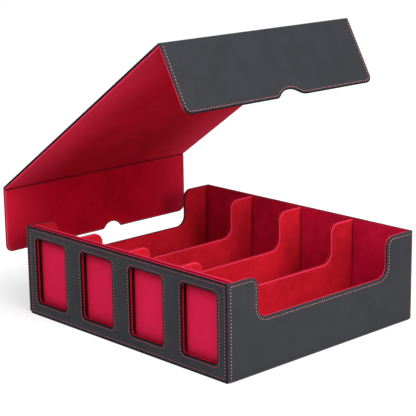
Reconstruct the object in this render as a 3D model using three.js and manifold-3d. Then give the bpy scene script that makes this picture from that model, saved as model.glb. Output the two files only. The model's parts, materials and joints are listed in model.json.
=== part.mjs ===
// A card storage box: a leather covered tray with four card rows behind four display windows,
// and a lid of three boards that folds at two creases and wraps over the tray from side to side.
// Millimetres, +Z up. The origin is the middle of the tray's underside, and the windows face -Y.

import * as THREE from 'three';
import { mergeVertices } from 'three/addons/utils/BufferGeometryUtils.js';
import Module from 'manifold-3d';

const wasm = await Module();
wasm.setup();

// Space for the cards
const rowCount = 4;
const rowWidth = 79.25;
const rowLength = 274.7;
const rowHeight = 102;
const slotGap = 4.4;

// Sheets and boards, by thickness
const leather = 0.9;
const lining = 0.7;
const glueLine = 0.2;
const wallBoard = 2.9;
const floorBoard = 2;
const frameBoard = 2.2;
const backerBoard = 2;
const dividerBoard = 2.6;
const lidBoard = 1.8;

// Windows in the front
const windowWidth = 53.8;
const windowSill = 15.5;
const windowHeadroom = 12.7;
const windowRadius = 5;

// Spacers that close the sides of the card slots
const spacerWidth = 4.4;
const spacerDrop = 6;

// Lowered middle of the side walls and dividers
const postDepth = 43;
const cutLevel = 59.8;
const postRadius = 11;
const hollowRadius = 13;
const dividerDrop = 0.4;

// Lid
const lidSideGap = 1;
const lidTopGap = 0.5;
const lidInset = 2;
const flapEndLevel = 29.6;
const flapRadius = 9;
const creaseGap = 0.4;

// Thumb notch in each flap: how far it is from the lid's middle, and its shape
const leftNotch = { shift: 20.5, radius: 16.5, depth: 8, shoulder: 1.5 };
const rightNotch = { shift: 14, radius: 22, depth: 8.4, shoulder: 6 };

// Magnets that hold the flaps against the side walls
const magnetRadius = 6;
const magnetPlay = 0.3;
const magnetInset = 0.1;
const magnetSpread = 70;
const magnetMargin = 12.4;

// The lid as it is held above the tray: how far it is moved from its closed place, and how it is folded
const lidShift = 41.4;
const lidLift = 34.2;
const panelSlope = THREE.MathUtils.degToRad(34.6);
const rightFold = THREE.MathUtils.degToRad(95.4);
const quarterTurn = Math.PI / 2;

// Smoothness of the round stretches
const arcSteps = 8;
const roundSteps = 24;

// Finishes
const finishes = {
  leather: new THREE.MeshStandardMaterial({ color: 0x3a3e42, roughness: 0.5, metalness: 0 }),
  lining: new THREE.MeshStandardMaterial({ color: 0xb3142d, roughness: 0.95, metalness: 0 }),
  board: new THREE.MeshStandardMaterial({ color: 0x9c8f7d, roughness: 0.85, metalness: 0 }),
  magnet: new THREE.MeshStandardMaterial({ color: 0xb9bcc0, roughness: 0.3, metalness: 0.9 }),
};

// A glued stack of layers: where each one starts, counted from the outer face, and its whole thickness
function stackOf(...layers) {
  const starts = [];
  let depth = 0;
  for (const layer of layers) {
    starts.push(depth);
    depth += layer + glueLine;
  }
  return { starts, total: depth - glueLine };
}

const wall = stackOf(leather, wallBoard, lining);
const floor = stackOf(leather, floorBoard, lining);
const frame = stackOf(leather, frameBoard, lining);
const backer = stackOf(lining, backerBoard, lining);
const divider = stackOf(lining, dividerBoard, lining);
const lid = stackOf(leather, lidBoard, lining);

const magnetThickness = lidBoard - 2 * magnetInset;
const rowPitch = rowWidth + divider.total;
const trayWidth = rowCount * rowPitch - divider.total + 2 * wall.total;
const trayDepth = frame.total + slotGap + backer.total + rowLength + wall.total;
const trayHeight = floor.total + rowHeight;
const windowHeight = trayHeight - windowSill - windowHeadroom;
const magnetLevel = flapEndLevel + magnetMargin;

// Faces that several pieces meet at
const side = trayWidth / 2;
const front = -trayDepth / 2;
const back = trayDepth / 2;
const skinInset = leather + glueLine;
const boardSide = side - wall.starts[1];
const liningSide = side - wall.total;
const innerSide = liningSide - glueLine;
const frameRear = front + frame.starts[1] + frameBoard;
const slotFront = front + frame.total;
const slotRear = slotFront + slotGap;
const rowFront = slotRear + backer.total;
const rowBack = back - wall.total;
const backBoardFront = back - wall.starts[1] - wallBoard;
const skinBase = floor.starts[1];
const boardBase = floor.starts[2];
const standBase = floor.total + glueLine;
const cutFront = front + postDepth;
const cutBack = back - postDepth;

const box = new THREE.Group();

function addPiece(parent, name, geometry, finish, x, y, z) {
  const piece = new THREE.Mesh(geometry, finish);
  piece.name = name;
  piece.position.set(x, y, z);
  parent.add(piece);
  return piece;
}

function addBlock(name, finish, [x0, x1], [y0, y1], [z0, z1]) {
  const block = new THREE.BoxGeometry(x1 - x0, y1 - y0, z1 - z0);
  addPiece(box, name, block, finish, (x0 + x1) / 2, (y0 + y1) / 2, (z0 + z1) / 2);
}

// A flat sheet cut to a shape. It lies in X and Y with its thickness towards +Z.
function sheetOf(shape, thickness) {
  const options = { depth: thickness, bevelEnabled: false, curveSegments: arcSteps };
  return new THREE.ExtrudeGeometry(shape, options);
}

// The same sheet stood up across the box, drawn in X and Z, with its thickness towards +Y
function facingFront(shape, thickness) {
  return sheetOf(shape, thickness).rotateX(quarterTurn).translate(0, thickness, 0);
}

// The same sheet stood up along the box, drawn in Y and Z, with its thickness towards +X
function facingSide(shape, thickness) {
  return sheetOf(shape, thickness).rotateX(quarterTurn).rotateZ(quarterTurn);
}

function rectangle(x0, x1, y0, y1) {
  const shape = new THREE.Shape();
  shape.moveTo(x0, y0);
  shape.lineTo(x1, y0);
  shape.lineTo(x1, y1);
  shape.lineTo(x0, y1);
  shape.closePath();
  return shape;
}

function roundHole(x, y, radius) {
  return new THREE.Path().absarc(x, y, radius, 0, 2 * Math.PI, false);
}

// A window with four round corners
function windowHole(centre) {
  const right = centre + windowWidth / 2 - windowRadius;
  const left = centre - windowWidth / 2 + windowRadius;
  const low = windowSill + windowRadius;
  const high = windowSill + windowHeight - windowRadius;
  const hole = new THREE.Path();
  hole.absarc(right, low, windowRadius, -quarterTurn, 0, false);
  hole.absarc(right, high, windowRadius, 0, quarterTurn, false);
  hole.absarc(left, high, windowRadius, quarterTurn, Math.PI, false);
  hole.absarc(left, low, windowRadius, Math.PI, Math.PI + quarterTurn, false);
  hole.closePath();
  return hole;
}

function rowCentre(row) {
  return (row - (rowCount - 1) / 2) * rowPitch;
}

function dividerCentre(index) {
  return rowCentre(index) + rowPitch / 2;
}

function windowedSheet(halfWidth, bottom) {
  const sheet = rectangle(-halfWidth, halfWidth, bottom, trayHeight);
  for (let row = 0; row < rowCount; row += 1) sheet.holes.push(windowHole(rowCentre(row)));
  return sheet;
}

// The side of a wall or divider: a post at each end and a lowered middle with round corners.
// The margin draws the whole edge inwards, for a board that lies under its covering.
function cutSide(start, end, bottom, top, margin) {
  const post = postRadius - margin;
  const hollow = hollowRadius + margin;
  const nearCut = cutFront - margin;
  const farCut = cutBack + margin;
  const low = cutLevel - margin;
  const high = top - margin;
  const shape = new THREE.Shape();
  shape.moveTo(end, bottom);
  shape.lineTo(end, high);
  shape.absarc(farCut + post, high - post, post, quarterTurn, Math.PI, false);
  shape.absarc(farCut - hollow, low + hollow, hollow, 0, -quarterTurn, true);
  shape.absarc(nearCut + hollow, low + hollow, hollow, -quarterTurn, -Math.PI, true);
  shape.absarc(nearCut - post, high - post, post, 0, quarterTurn, false);
  shape.lineTo(start, high);
  shape.lineTo(start, bottom);
  shape.closePath();
  return shape;
}

// Solids for cutting one piece by another
function solidOf(geometry) {
  const bare = geometry.clone();
  bare.deleteAttribute('normal');
  bare.deleteAttribute('uv');
  const merged = mergeVertices(bare);
  const mesh = new wasm.Mesh({
    numProp: 3,
    vertProperties: merged.attributes.position.array,
    triVerts: new Uint32Array(merged.index.array),
  });
  return new wasm.Manifold(mesh);
}

function geometryOf(solid) {
  const mesh = solid.getMesh();
  const geometry = new THREE.BufferGeometry();
  geometry.setAttribute('position', new THREE.BufferAttribute(mesh.vertProperties, 3));
  geometry.setIndex(new THREE.BufferAttribute(mesh.triVerts, 1));
  geometry.computeVertexNormals();
  return geometry;
}

function magnetDisc() {
  return new THREE.CylinderGeometry(magnetRadius, magnetRadius, magnetThickness, roundSteps);
}

// Floor: leather underneath, a board, and the lining that the cards stand on
function addFloor() {
  addBlock('bottom_leather', finishes.leather, [-side, side], [front, back], [0, leather]);
  const boardWidth = [skinInset - side, side - skinInset];
  const boardDepth = [front + skinInset, back - skinInset];
  addBlock('floor_board', finishes.board, boardWidth, boardDepth, [skinBase, skinBase + floorBoard]);
  const cloth = [slotFront + glueLine, rowBack - glueLine];
  addBlock('floor_lining', finishes.lining, [-innerSide, innerSide], cloth, [floor.starts[2], floor.total]);
}

// Front frame: leather outside, a board and a lining, all with the same four windows
function addFrontFrame() {
  const leatherSheet = facingFront(windowedSheet(boardSide, skinBase), leather);
  addPiece(box, 'front_leather', leatherSheet, finishes.leather, 0, front, 0);
  const boardSheet = facingFront(windowedSheet(boardSide, boardBase), frameBoard);
  addPiece(box, 'front_frame_board', boardSheet, finishes.board, 0, front + frame.starts[1], 0);
  const liningSheet = facingFront(windowedSheet(innerSide, boardBase), lining);
  addPiece(box, 'front_frame_lining', liningSheet, finishes.lining, 0, front + frame.starts[2], 0);
}

// Board behind the card slots, lined on both faces, and the spacers that hold the frame off it
function addSlotBacker() {
  const width = [-innerSide, innerSide];
  const height = [standBase, trayHeight];
  const feltRear = slotRear + lining;
  const boardFront = slotRear + backer.starts[1];
  const boardRear = boardFront + backerBoard;
  addBlock('display_felt', finishes.lining, width, [slotRear, feltRear], height);
  addBlock('slot_backer_board', finishes.board, width, [boardFront, boardRear], height);
  addBlock('slot_backer_lining', finishes.lining, width, [slotRear + backer.starts[2], rowFront], height);
  for (let index = 0; index < rowCount - 1; index += 1) {
    const centre = dividerCentre(index);
    const across = [centre - spacerWidth / 2, centre + spacerWidth / 2];
    const along = [slotFront + glueLine, slotRear - glueLine];
    const up = [standBase, trayHeight - spacerDrop];
    addBlock(`slot_spacer_${index + 1}`, finishes.lining, across, along, up);
  }
}

// Side walls: leather outside, a board with two magnets in it, and a lining, cut low in the middle.
// The leather runs past the front frame and the back wall to the corners.
function addSideWall(name, isLeft) {
  const place = (start, thickness) => (isLeft ? -side + start : side - start - thickness);
  const skin = facingSide(cutSide(front, back, skinBase, trayHeight, 0), leather);
  addPiece(box, `${name}_wall_leather`, skin, finishes.leather, place(0, leather), 0, 0);
  const boardEnds = [frameRear + glueLine, backBoardFront - glueLine];
  const boardShape = cutSide(...boardEnds, boardBase, trayHeight, 0);
  for (const along of [-magnetSpread, magnetSpread]) {
    boardShape.holes.push(roundHole(along, magnetLevel, magnetRadius + magnetPlay));
  }
  const board = facingSide(boardShape, wallBoard);
  addPiece(box, `${name}_wall_board`, board, finishes.board, place(wall.starts[1], wallBoard), 0, 0);
  const cloth = facingSide(cutSide(...boardEnds, boardBase, trayHeight, 0), lining);
  addPiece(box, `${name}_wall_lining`, cloth, finishes.lining, place(wall.starts[2], lining), 0, 0);
  const magnetX = place(wall.starts[1], magnetThickness) + magnetThickness / 2;
  for (const [end, along] of [['front', -magnetSpread], ['rear', magnetSpread]]) {
    const disc = magnetDisc().rotateZ(quarterTurn);
    addPiece(box, `${name}_wall_magnet_${end}`, disc, finishes.magnet, magnetX, along, magnetLevel);
  }
}

// Back wall at its full height
function addBackWall() {
  const skin = [back - leather, back];
  addBlock('back_wall_leather', finishes.leather, [-boardSide, boardSide], skin, [skinBase, trayHeight]);
  const board = [backBoardFront, backBoardFront + wallBoard];
  addBlock('back_wall_board', finishes.board, [-boardSide, boardSide], board, [boardBase, trayHeight]);
  const cloth = [rowBack, rowBack + lining];
  addBlock('back_wall_lining', finishes.lining, [-innerSide, innerSide], cloth, [boardBase, trayHeight]);
}

// Dividers: a board with a lining folded over its top edge
function addDivider(index) {
  const ends = [rowFront + glueLine, rowBack - glueLine];
  const top = trayHeight - dividerDrop;
  const margin = lining + glueLine;
  const whole = facingSide(cutSide(...ends, standBase, top, 0), divider.total);
  const hollowEnds = [ends[0] - lining, ends[1] + lining];
  const hollowThickness = dividerBoard + 2 * glueLine;
  const hollow = facingSide(cutSide(...hollowEnds, standBase - lining, top, lining), hollowThickness);
  hollow.translate(lining, 0, 0);
  const cover = geometryOf(solidOf(whole).subtract(solidOf(hollow)));
  const core = facingSide(cutSide(...ends, standBase, top, margin), dividerBoard);
  const start = dividerCentre(index) - divider.total / 2;
  addPiece(box, `divider_${index + 1}_cover`, cover, finishes.lining, start, 0, 0);
  addPiece(box, `divider_${index + 1}_board`, core, finishes.board, start + margin, 0, 0);
}

// Lid: the plates stop short of the creases, so that they clear each other when they are folded
const creaseRadius = lid.total / 2;
const plateStart = creaseRadius / Math.tan((Math.PI - rightFold) / 2) + creaseGap;
const creaseSpan = trayWidth + 2 * lidSideGap + lid.total;
const lidHalfDepth = trayDepth / 2 - lidInset;
const closedCreaseX = -side - lidSideGap - creaseRadius;
const closedCreaseZ = trayHeight + lidTopGap + creaseRadius;
const flapReach = closedCreaseZ - flapEndLevel;
const magnetReach = closedCreaseZ - magnetLevel;

// A flap drawn from its crease outwards along X, with round outer corners and a thumb notch at the given Y
function flapShape(notch, notchY) {
  const edge = flapReach;
  const overhang = notch.radius - notch.depth;
  const reach = notch.radius + notch.shoulder;
  const drop = overhang + notch.shoulder;
  const spread = Math.sqrt(reach * reach - drop * drop);
  const turn = Math.atan2(spread, drop);
  const corner = edge - flapRadius;
  const shoulder = edge - notch.shoulder;
  const shape = new THREE.Shape();
  shape.moveTo(plateStart, lidHalfDepth);
  shape.lineTo(plateStart, -lidHalfDepth);
  shape.absarc(corner, flapRadius - lidHalfDepth, flapRadius, -quarterTurn, 0, false);
  shape.absarc(shoulder, notchY - spread, notch.shoulder, 0, turn, false);
  shape.absarc(edge + overhang, notchY, notch.radius, Math.PI + turn, Math.PI - turn, true);
  shape.absarc(shoulder, notchY + spread, notch.shoulder, -turn, 0, false);
  shape.absarc(corner, lidHalfDepth - flapRadius, flapRadius, 0, quarterTurn, false);
  shape.closePath();
  return shape;
}

// Layers of a lid plate: +Z is its outer face, and its middle plane runs through the crease
function addPlate(group, name, skinShape, boardShape) {
  const at = (start, thickness) => creaseRadius - start - thickness;
  const skin = sheetOf(skinShape, leather);
  addPiece(group, `${name}_leather`, skin, finishes.leather, 0, 0, at(0, leather));
  const board = sheetOf(boardShape, lidBoard);
  addPiece(group, `${name}_board`, board, finishes.board, 0, 0, at(lid.starts[1], lidBoard));
  const cloth = sheetOf(skinShape, lining);
  addPiece(group, `${name}_lining`, cloth, finishes.lining, 0, 0, at(lid.starts[2], lining));
}

// A flap with its leather crease and two magnets. Its own Y runs towards the front or the back of the box,
// as frontSign says.
function addFlap(group, name, notch, frontSign) {
  const crease = new THREE.CylinderGeometry(creaseRadius, creaseRadius, 2 * lidHalfDepth, roundSteps);
  addPiece(group, `${name}_crease`, crease, finishes.leather, 0, 0, 0);
  const notchY = -frontSign * notch.shift;
  const boardShape = flapShape(notch, notchY);
  for (const along of [-magnetSpread, magnetSpread]) {
    boardShape.holes.push(roundHole(magnetReach, along, magnetRadius + magnetPlay));
  }
  addPlate(group, `${name}_flap`, flapShape(notch, notchY), boardShape);
  const magnetZ = creaseRadius - lid.starts[1] - lidBoard / 2;
  for (const [end, along] of [['front', frontSign * magnetSpread], ['rear', -frontSign * magnetSpread]]) {
    const disc = magnetDisc().rotateX(quarterTurn);
    addPiece(group, `${name}_flap_magnet_${end}`, disc, finishes.magnet, magnetReach, along, magnetZ);
  }
}

function addLid() {
  const lidGroup = new THREE.Group();
  lidGroup.position.set(closedCreaseX - lidShift, 0, closedCreaseZ + lidLift);
  box.add(lidGroup);

  const leftFlap = new THREE.Group();
  leftFlap.rotation.set(0, -quarterTurn, Math.PI);
  lidGroup.add(leftFlap);
  addFlap(leftFlap, 'left', leftNotch, 1);

  const panel = new THREE.Group();
  panel.rotation.y = -panelSlope;
  lidGroup.add(panel);
  const panelShape = rectangle(plateStart, creaseSpan - plateStart, -lidHalfDepth, lidHalfDepth);
  addPlate(panel, 'panel', panelShape, panelShape);

  const rightFlap = new THREE.Group();
  rightFlap.position.x = creaseSpan;
  rightFlap.rotation.y = rightFold;
  panel.add(rightFlap);
  addFlap(rightFlap, 'right', rightNotch, -1);
}

addFloor();
addFrontFrame();
addSlotBacker();
addSideWall('left', true);
addSideWall('right', false);
addBackWall();
for (let index = 0; index < rowCount - 1; index += 1) addDivider(index);
addLid();

export default box;
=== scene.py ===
"""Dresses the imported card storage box: stitched leather and suede in a plain pale studio."""

import json
import math
from functools import partial

import bmesh
import bpy
from bpy.props import FloatProperty, FloatVectorProperty, IntProperty, PointerProperty
from mathutils import Matrix, Vector
from mathutils.geometry import tessellate_polygon


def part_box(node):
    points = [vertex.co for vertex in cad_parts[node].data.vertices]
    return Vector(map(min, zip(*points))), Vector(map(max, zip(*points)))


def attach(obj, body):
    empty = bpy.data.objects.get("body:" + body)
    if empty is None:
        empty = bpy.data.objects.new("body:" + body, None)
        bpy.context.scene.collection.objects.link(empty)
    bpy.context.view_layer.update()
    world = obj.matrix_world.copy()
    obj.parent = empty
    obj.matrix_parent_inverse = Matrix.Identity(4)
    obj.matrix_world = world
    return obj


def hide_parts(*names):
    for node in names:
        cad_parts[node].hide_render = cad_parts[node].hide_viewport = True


bl_info = {
    "name": "Card storage box",
    "version": (1, 0, 0),
    "blender": (4, 5, 0),
    "location": "3D View > Sidebar > Card box",
    "description": "Stitched leather and suede for a card storage box",
    "category": "Object",
}

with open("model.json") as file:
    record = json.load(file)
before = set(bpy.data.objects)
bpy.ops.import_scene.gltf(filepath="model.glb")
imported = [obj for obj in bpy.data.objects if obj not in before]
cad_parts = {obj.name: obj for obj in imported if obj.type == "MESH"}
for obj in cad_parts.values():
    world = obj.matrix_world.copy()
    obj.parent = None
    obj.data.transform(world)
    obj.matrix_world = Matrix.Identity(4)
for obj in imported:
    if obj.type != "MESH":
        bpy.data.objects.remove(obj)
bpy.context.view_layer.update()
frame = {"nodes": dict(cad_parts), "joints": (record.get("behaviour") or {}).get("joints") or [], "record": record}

MM = 0.001

# Faces of the tray, taken from the frame
BASE_LOW, BASE_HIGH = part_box("bottom_leather")
SIDE = BASE_HIGH.x
FRONT = BASE_LOW.y
BACK = BASE_HIGH.y
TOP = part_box("front_leather")[1].z
SKIN_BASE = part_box("front_leather")[0].z
LINED_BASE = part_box("front_frame_board")[0].z
FLOOR_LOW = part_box("floor_board")[1].z
FLOOR_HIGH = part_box("floor_lining")[1].z
FRAME_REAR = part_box("front_frame_lining")[1].y
BACKER_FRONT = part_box("display_felt")[0].y
BACKER_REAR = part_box("slot_backer_lining")[1].y
STAND_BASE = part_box("display_felt")[0].z
ROW_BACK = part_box("back_wall_lining")[0].y
ROW_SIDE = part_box("right_wall_lining")[0].x
INNER_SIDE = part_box("front_frame_lining")[1].x
DIVIDER_LOW, DIVIDER_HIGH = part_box("divider_1_cover")
DIVIDER_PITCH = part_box("divider_2_cover")[0].x - DIVIDER_LOW.x
SPACER_LOW, SPACER_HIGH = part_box("slot_spacer_1")
ROWS = 4

# Lower edges of the leather, which reaches further down in front than elsewhere
FOOT = 0.1 * MM
FRONT_FOOT = -0.9 * MM

# Points that are nearer than this lie on the same edge
HAIR = 0.02 * MM

# Small roundings: of a lining's corners, and the least that an inset leaves of a round corner
CORNER = 0.6 * MM
LEAST_CORNER = 0.1 * MM
LEAST_SHOULDER = 0.2 * MM
LEAST_ROUNDING = 0.05 * MM

# Longest step along a straight edge, and the turn of one step round a corner
EDGE_STEP = 12 * MM
CORNER_STEP = math.radians(11.25)

# Edges that turn more than this stay sharp
PLATE_SHARP = math.radians(50)
BEAD_SHARP = math.radians(40)

# The lid's folds, taken from the frame's joints
JOINTS = {joint["name"]: joint for joint in frame["joints"]}
LEFT_CREASE = Vector(JOINTS["panel_fold"]["pos_m"])
RIGHT_CREASE = Vector(JOINTS["right_flap_fold"]["pos_m"])
PANEL_RUN = RIGHT_CREASE - LEFT_CREASE
LID_HALF_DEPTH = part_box("panel_leather")[1].y
LID_HALF_THICKNESS = (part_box("left_crease")[1].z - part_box("left_crease")[0].z) / 2
LEFT_FLAP_REACH = LEFT_CREASE.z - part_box("left_flap_leather")[0].z
CREASES = (("left", LEFT_CREASE), ("right", RIGHT_CREASE))

# How far the lid's leather starts from a crease, and how far from it the black edges and grooves start
CREASE_SPACE = 0.02 * MM
CREASE_WIDTH = 2 * MM

# The photograph's camera
CAMERA_PLACE = (1.1603, -1.1019, 0.5306)
CAMERA_YAW = math.radians(-46.813)
CAMERA_PITCH = math.radians(14.054)
CAMERA_ROLL = math.radians(-0.818)
CAMERA_LENS = 123.88
CAMERA_SENSOR = 36.0
CAMERA_CLIP = 50.0


def length(name, description, value):
    """A size in metres, given in millimetres."""
    return FloatProperty(name=name, description=description, default=value * MM, min=0.0, unit="LENGTH")


def colour(name, description, red, green, blue):
    """A linear colour."""
    return FloatVectorProperty(
        name=name,
        description=description,
        default=(red, green, blue),
        min=0.0,
        max=1.0,
        size=3,
        subtype="COLOR",
    )


def brightness(name, description, value):
    """How bright a light is."""
    return FloatProperty(name=name, description=description, default=value, min=0.0)


class CardBoxSizes(bpy.types.PropertyGroup):
    """Sizes of the leather, the linings, the cut-outs and the stitches."""

    skin: length("Wall leather", "Thickness of the side walls' leather at their top edges", 2.8)
    front_skin: length("Front leather", "Thickness of the front's leather at its top edge", 2.2)
    back_skin: length("Back leather", "Thickness of the back's leather at its top edge", 0.8)
    lid_skin: length("Lid leather", "Thickness of the leather at the lid's edges", 1.9)
    lid_margin: length("Lid lining margin", "How far the lid's linings stay behind its edges", 0.1)
    flap_margin: length("Flap lining margin", "How far the flaps' linings stay behind their outer edges", 1.3)
    seam: length("Seam", "Gap between two glued plates", 0.05)
    rim: length("Rim", "Roundness of the leather's edges", 0.5)
    # Painted shade: how far the near-black of an edge reaches onto the face, and how far the painted contact
    # shadow reaches up from the underside
    sealed: length("Sealed edge", "How far the black sealed edge reaches onto the face", 1.2)
    foot_shade_reach: length("Sealed foot", "How far the black edge reaches up from the underside", 2.1)
    foot: length("Foot corners", "Radius of the tray's lower corners", 2.7)
    window_width: length("Window width", "Width of a display window", 53.8)
    window_sill: length("Window sill", "Height of a window's lower edge above the underside", 15.5)
    window_headroom: length("Window headroom", "From a window's upper edge to the top", 12.7)
    window_radius: length("Window corners", "Radius of a window's corners", 5)
    window_lip: length("Window lip", "Depth of the leather's edge in a window, in front of the lining", 1.9)
    post: length("Post depth", "Depth of the full-height ends of a side wall", 43)
    cut: length("Cut height", "Height of the lowered middle of a side wall", 59.8)
    post_radius: length("Post corners", "Radius at the top of a post", 11)
    hollow_radius: length("Hollow corners", "Radius at the foot of a post", 13)
    flap_radius: length("Flap corners", "Radius of a flap's outer corners", 9)
    left_notch_shift: length("Left notch place", "From the lid's middle to the left thumb notch", 20.5)
    left_notch_radius: length("Left notch radius", "Radius of the left flap's thumb notch", 16.5)
    left_notch_depth: length("Left notch depth", "Depth of the left flap's thumb notch", 8)
    left_notch_shoulder: length("Left notch shoulder", "Radius in front of the left flap's thumb notch", 1.5)
    left_notch_slope: length("Left notch slope", "Radius behind the left flap's thumb notch", 1.5)
    right_notch_shift: length("Right notch place", "From the lid's middle to the right thumb notch", 10.3)
    right_notch_radius: length("Right notch radius", "Radius of the right flap's thumb notch", 24)
    right_notch_depth: length("Right notch depth", "Depth of the right flap's thumb notch", 8.3)
    right_notch_shoulder: length("Right notch shoulder", "Radius in front of the right flap's thumb notch", 7)
    right_notch_slope: length("Right notch slope", "Radius behind the right flap's thumb notch", 22)
    right_trim: length("Right flap trim", "How much shorter the right flap is than the left one", 0.6)
    crease_gap: length("Crease gap", "Where a lid lining starts, from the crease", 2.1)
    groove: length("Groove", "Depth that the stitches pull into the leather", 0.3)
    stitch_inset: length("Stitch inset", "From an edge to its stitches", 3.4)
    panel_lip: length("Panel lip", "Leather of the panel past its board in front", 0.9)
    flap_stitch_inset: length("Flap stitch inset", "From a flap's edge to its stitches", 2.9)
    window_stitch_inset: length("Window stitch inset", "From a window's edge to its stitches", 2.9)
    rear_stitch_inset: length("Rear stitch inset", "From a side wall's rear edge to its stitches", 2.1)
    rear_bulge: length("Rear bulge", "How far the leather stands out behind the frame's back", 1.3)
    stitch_pitch: length("Stitch pitch", "From one stitch to the next", 3.65)
    stitch_length: length("Stitch length", "Length of the thread that shows", 1.85)
    stitch_radius: length("Thread radius", "Half the thread's thickness", 0.38)
    right_fold: FloatProperty(
        name="Right fold",
        description="Angle between the panel and the right flap as the lid is held",
        default=math.radians(95.4),
        subtype="ANGLE",
    )
    seed: IntProperty(name="Seed", description="Seed for the slight unevenness of the stitches", default=7)


class CardBoxColours(bpy.types.PropertyGroup):
    """Colours of the box."""

    leather: colour("Leather", "Outer faces of the leather", 0.0104, 0.0114, 0.0150)
    # Painted shade: the near-black of the leather's rounded edges, where they turn from the light, and of its
    # foot, a painted contact shadow
    leather_edge: colour("Front edge", "Sealed edges of the front, the back and the lid", 0.003, 0.004, 0.005)
    # Painted highlight: a greyer, purplish copy of the edge colour where the side walls' upper edges face the
    # light
    side_edge: colour("Side edge", "Sealed edges of the side walls", 0.014, 0.010, 0.017)
    lining: colour("Lining", "Suede in the tray", 0.43, 0.0078, 0.018)
    # Painted light: a brighter, bluer copy of the lining for the back wall, where the front light falls on it
    rear_lining: colour("Rear lining", "Suede on the back wall", 0.47, 0.0065, 0.036)
    # Painted shade: a darker copy of the lining for the lid's underside
    lid_lining: colour("Lid lining", "Suede in the lid", 0.355, 0.0020, 0.012)
    # Painted highlight: the pale pink that the suede's edges are blended towards where they catch the light
    lining_edge: colour("Lining edge", "Rubbed edges of the suede", 0.60, 0.030, 0.075)
    felt: colour("Felt", "Felt behind the windows", 0.58, 0.013, 0.056)
    # Painted shade: a dark copy of the lining for the insides of the lid's creases, where shade falls
    fold: colour("Fold", "Suede in the lid's creases", 0.11, 0.003, 0.008)
    # Painted shade: a near-black copy of the lining for the strips deep between the card slots
    slot: colour("Slot", "Strips between the card slots", 0.020, 0.006, 0.009)
    thread: colour("Thread", "Stitches of the side walls", 0.50, 0.20, 0.18)
    lid_thread: colour("Lid thread", "Stitches of the lid", 0.52, 0.15, 0.18)
    front_thread: colour("Front thread", "Stitches of the front and of the rear edges", 0.42, 0.055, 0.12)
    board: colour("Board", "Grey board inside the walls", 0.33, 0.27, 0.20)
    magnet: colour("Magnet", "Plated magnets inside the walls", 0.60, 0.60, 0.62)
    floor: colour("Floor", "Pale floor under the box", 0.34, 0.34, 0.34)


class CardBoxLight(bpy.types.PropertyGroup):
    """Strength of the studio's lights, of the surround and of the floor's own glow."""

    bright_side: brightness("Bright side", "Surround on the right", 1.05)
    dark_side: brightness("Dark side", "Surround on the left", 0.17)
    key: brightness("Key", "Power of the light on the right", 29.0)
    fill: brightness("Fill", "Power of the light in front", 12.5)
    top: brightness("Top", "Power of the light above", 7.0)
    side: brightness("Side", "Power of the low light on the right", 13.0)
    # The lower glow paints a soft shadow on the floor left of the box
    near_glow: brightness("Near glow", "Light that the floor gives back on the shaded side", 0.49)
    floor_glow: brightness("Floor glow", "Light that the floor gives back elsewhere", 0.72)


# Node trees

# Places of a colour mix's sockets
MIX_FACTOR, MIX_FIRST, MIX_SECOND, MIX_RESULT = 0, 6, 7, 2


def feed(tree, socket, value):
    """Gives an input its value, or links it where the value is another node's output."""
    if isinstance(value, bpy.types.NodeSocket):
        tree.links.new(value, socket)
    else:
        socket.default_value = value


def add(tree, kind, inputs=(), **settings):
    """A node with its settings and inputs."""
    node = tree.nodes.new(kind)
    for key, value in settings.items():
        setattr(node, key, value)
    for key, value in dict(inputs).items():
        feed(tree, node.inputs[key], value)
    return node


def opaque(value):
    return (*value, 1.0)


def scaled(value, share):
    return tuple(min(1.0, part * share) for part in value)


def noise(tree, place, scale, detail=2.0, roughness=0.5):
    """Noise of a given number of features to the metre."""
    inputs = {"Vector": place, "Scale": scale, "Detail": detail, "Roughness": roughness}
    return add(tree, "ShaderNodeTexNoise", inputs).outputs["Fac"]


def blend_colours(tree, factor, first, second):
    """From the first colour to the second."""
    inputs = {MIX_FACTOR: factor, MIX_FIRST: first, MIX_SECOND: second}
    return add(tree, "ShaderNodeMix", inputs, data_type="RGBA").outputs[MIX_RESULT]


def shades(tree, factor, face, darkest, lightest):
    """From a darker to a lighter shade of one colour."""
    return blend_colours(tree, factor, opaque(scaled(face, darkest)), opaque(scaled(face, lightest)))


def spread(tree, value, low, high, to_low=0.0, to_high=1.0):
    """A value carried from one range to another, with its ends held."""
    inputs = {"Value": value, "From Min": low, "From Max": high, "To Min": to_low, "To Max": to_high}
    return add(tree, "ShaderNodeMapRange", inputs).outputs["Result"]


def combined(tree, operation, first, second):
    return add(tree, "ShaderNodeMath", {0: first, 1: second}, operation=operation).outputs[0]


def weighed(tree, first, second, shares):
    """Two values added up, each by its share."""
    parts = [combined(tree, "MULTIPLY", value, share) for value, share in zip((first, second), shares)]
    return combined(tree, "ADD", *parts)


def surface(name):
    """A new material: its tree, its surface shader, its place coordinates and its rim attribute."""
    material = bpy.data.materials.new(name)
    material.use_nodes = True
    tree = material.node_tree
    tree.nodes.clear()
    shader = add(tree, "ShaderNodeBsdfPrincipled")
    add(tree, "ShaderNodeOutputMaterial", {"Surface": shader.outputs["BSDF"]})
    place = add(tree, "ShaderNodeTexCoord").outputs["Object"]
    rim = add(tree, "ShaderNodeAttribute", attribute_name="rim").outputs["Fac"]
    return material, tree, shader, place, rim


def roughen(tree, shader, height, strength, depth):
    """Relief of a given depth in metres."""
    inputs = {"Height": height, "Strength": strength, "Distance": depth}
    bump = add(tree, "ShaderNodeBump", inputs)
    tree.links.new(bump.outputs["Normal"], shader.inputs["Normal"])


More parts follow.
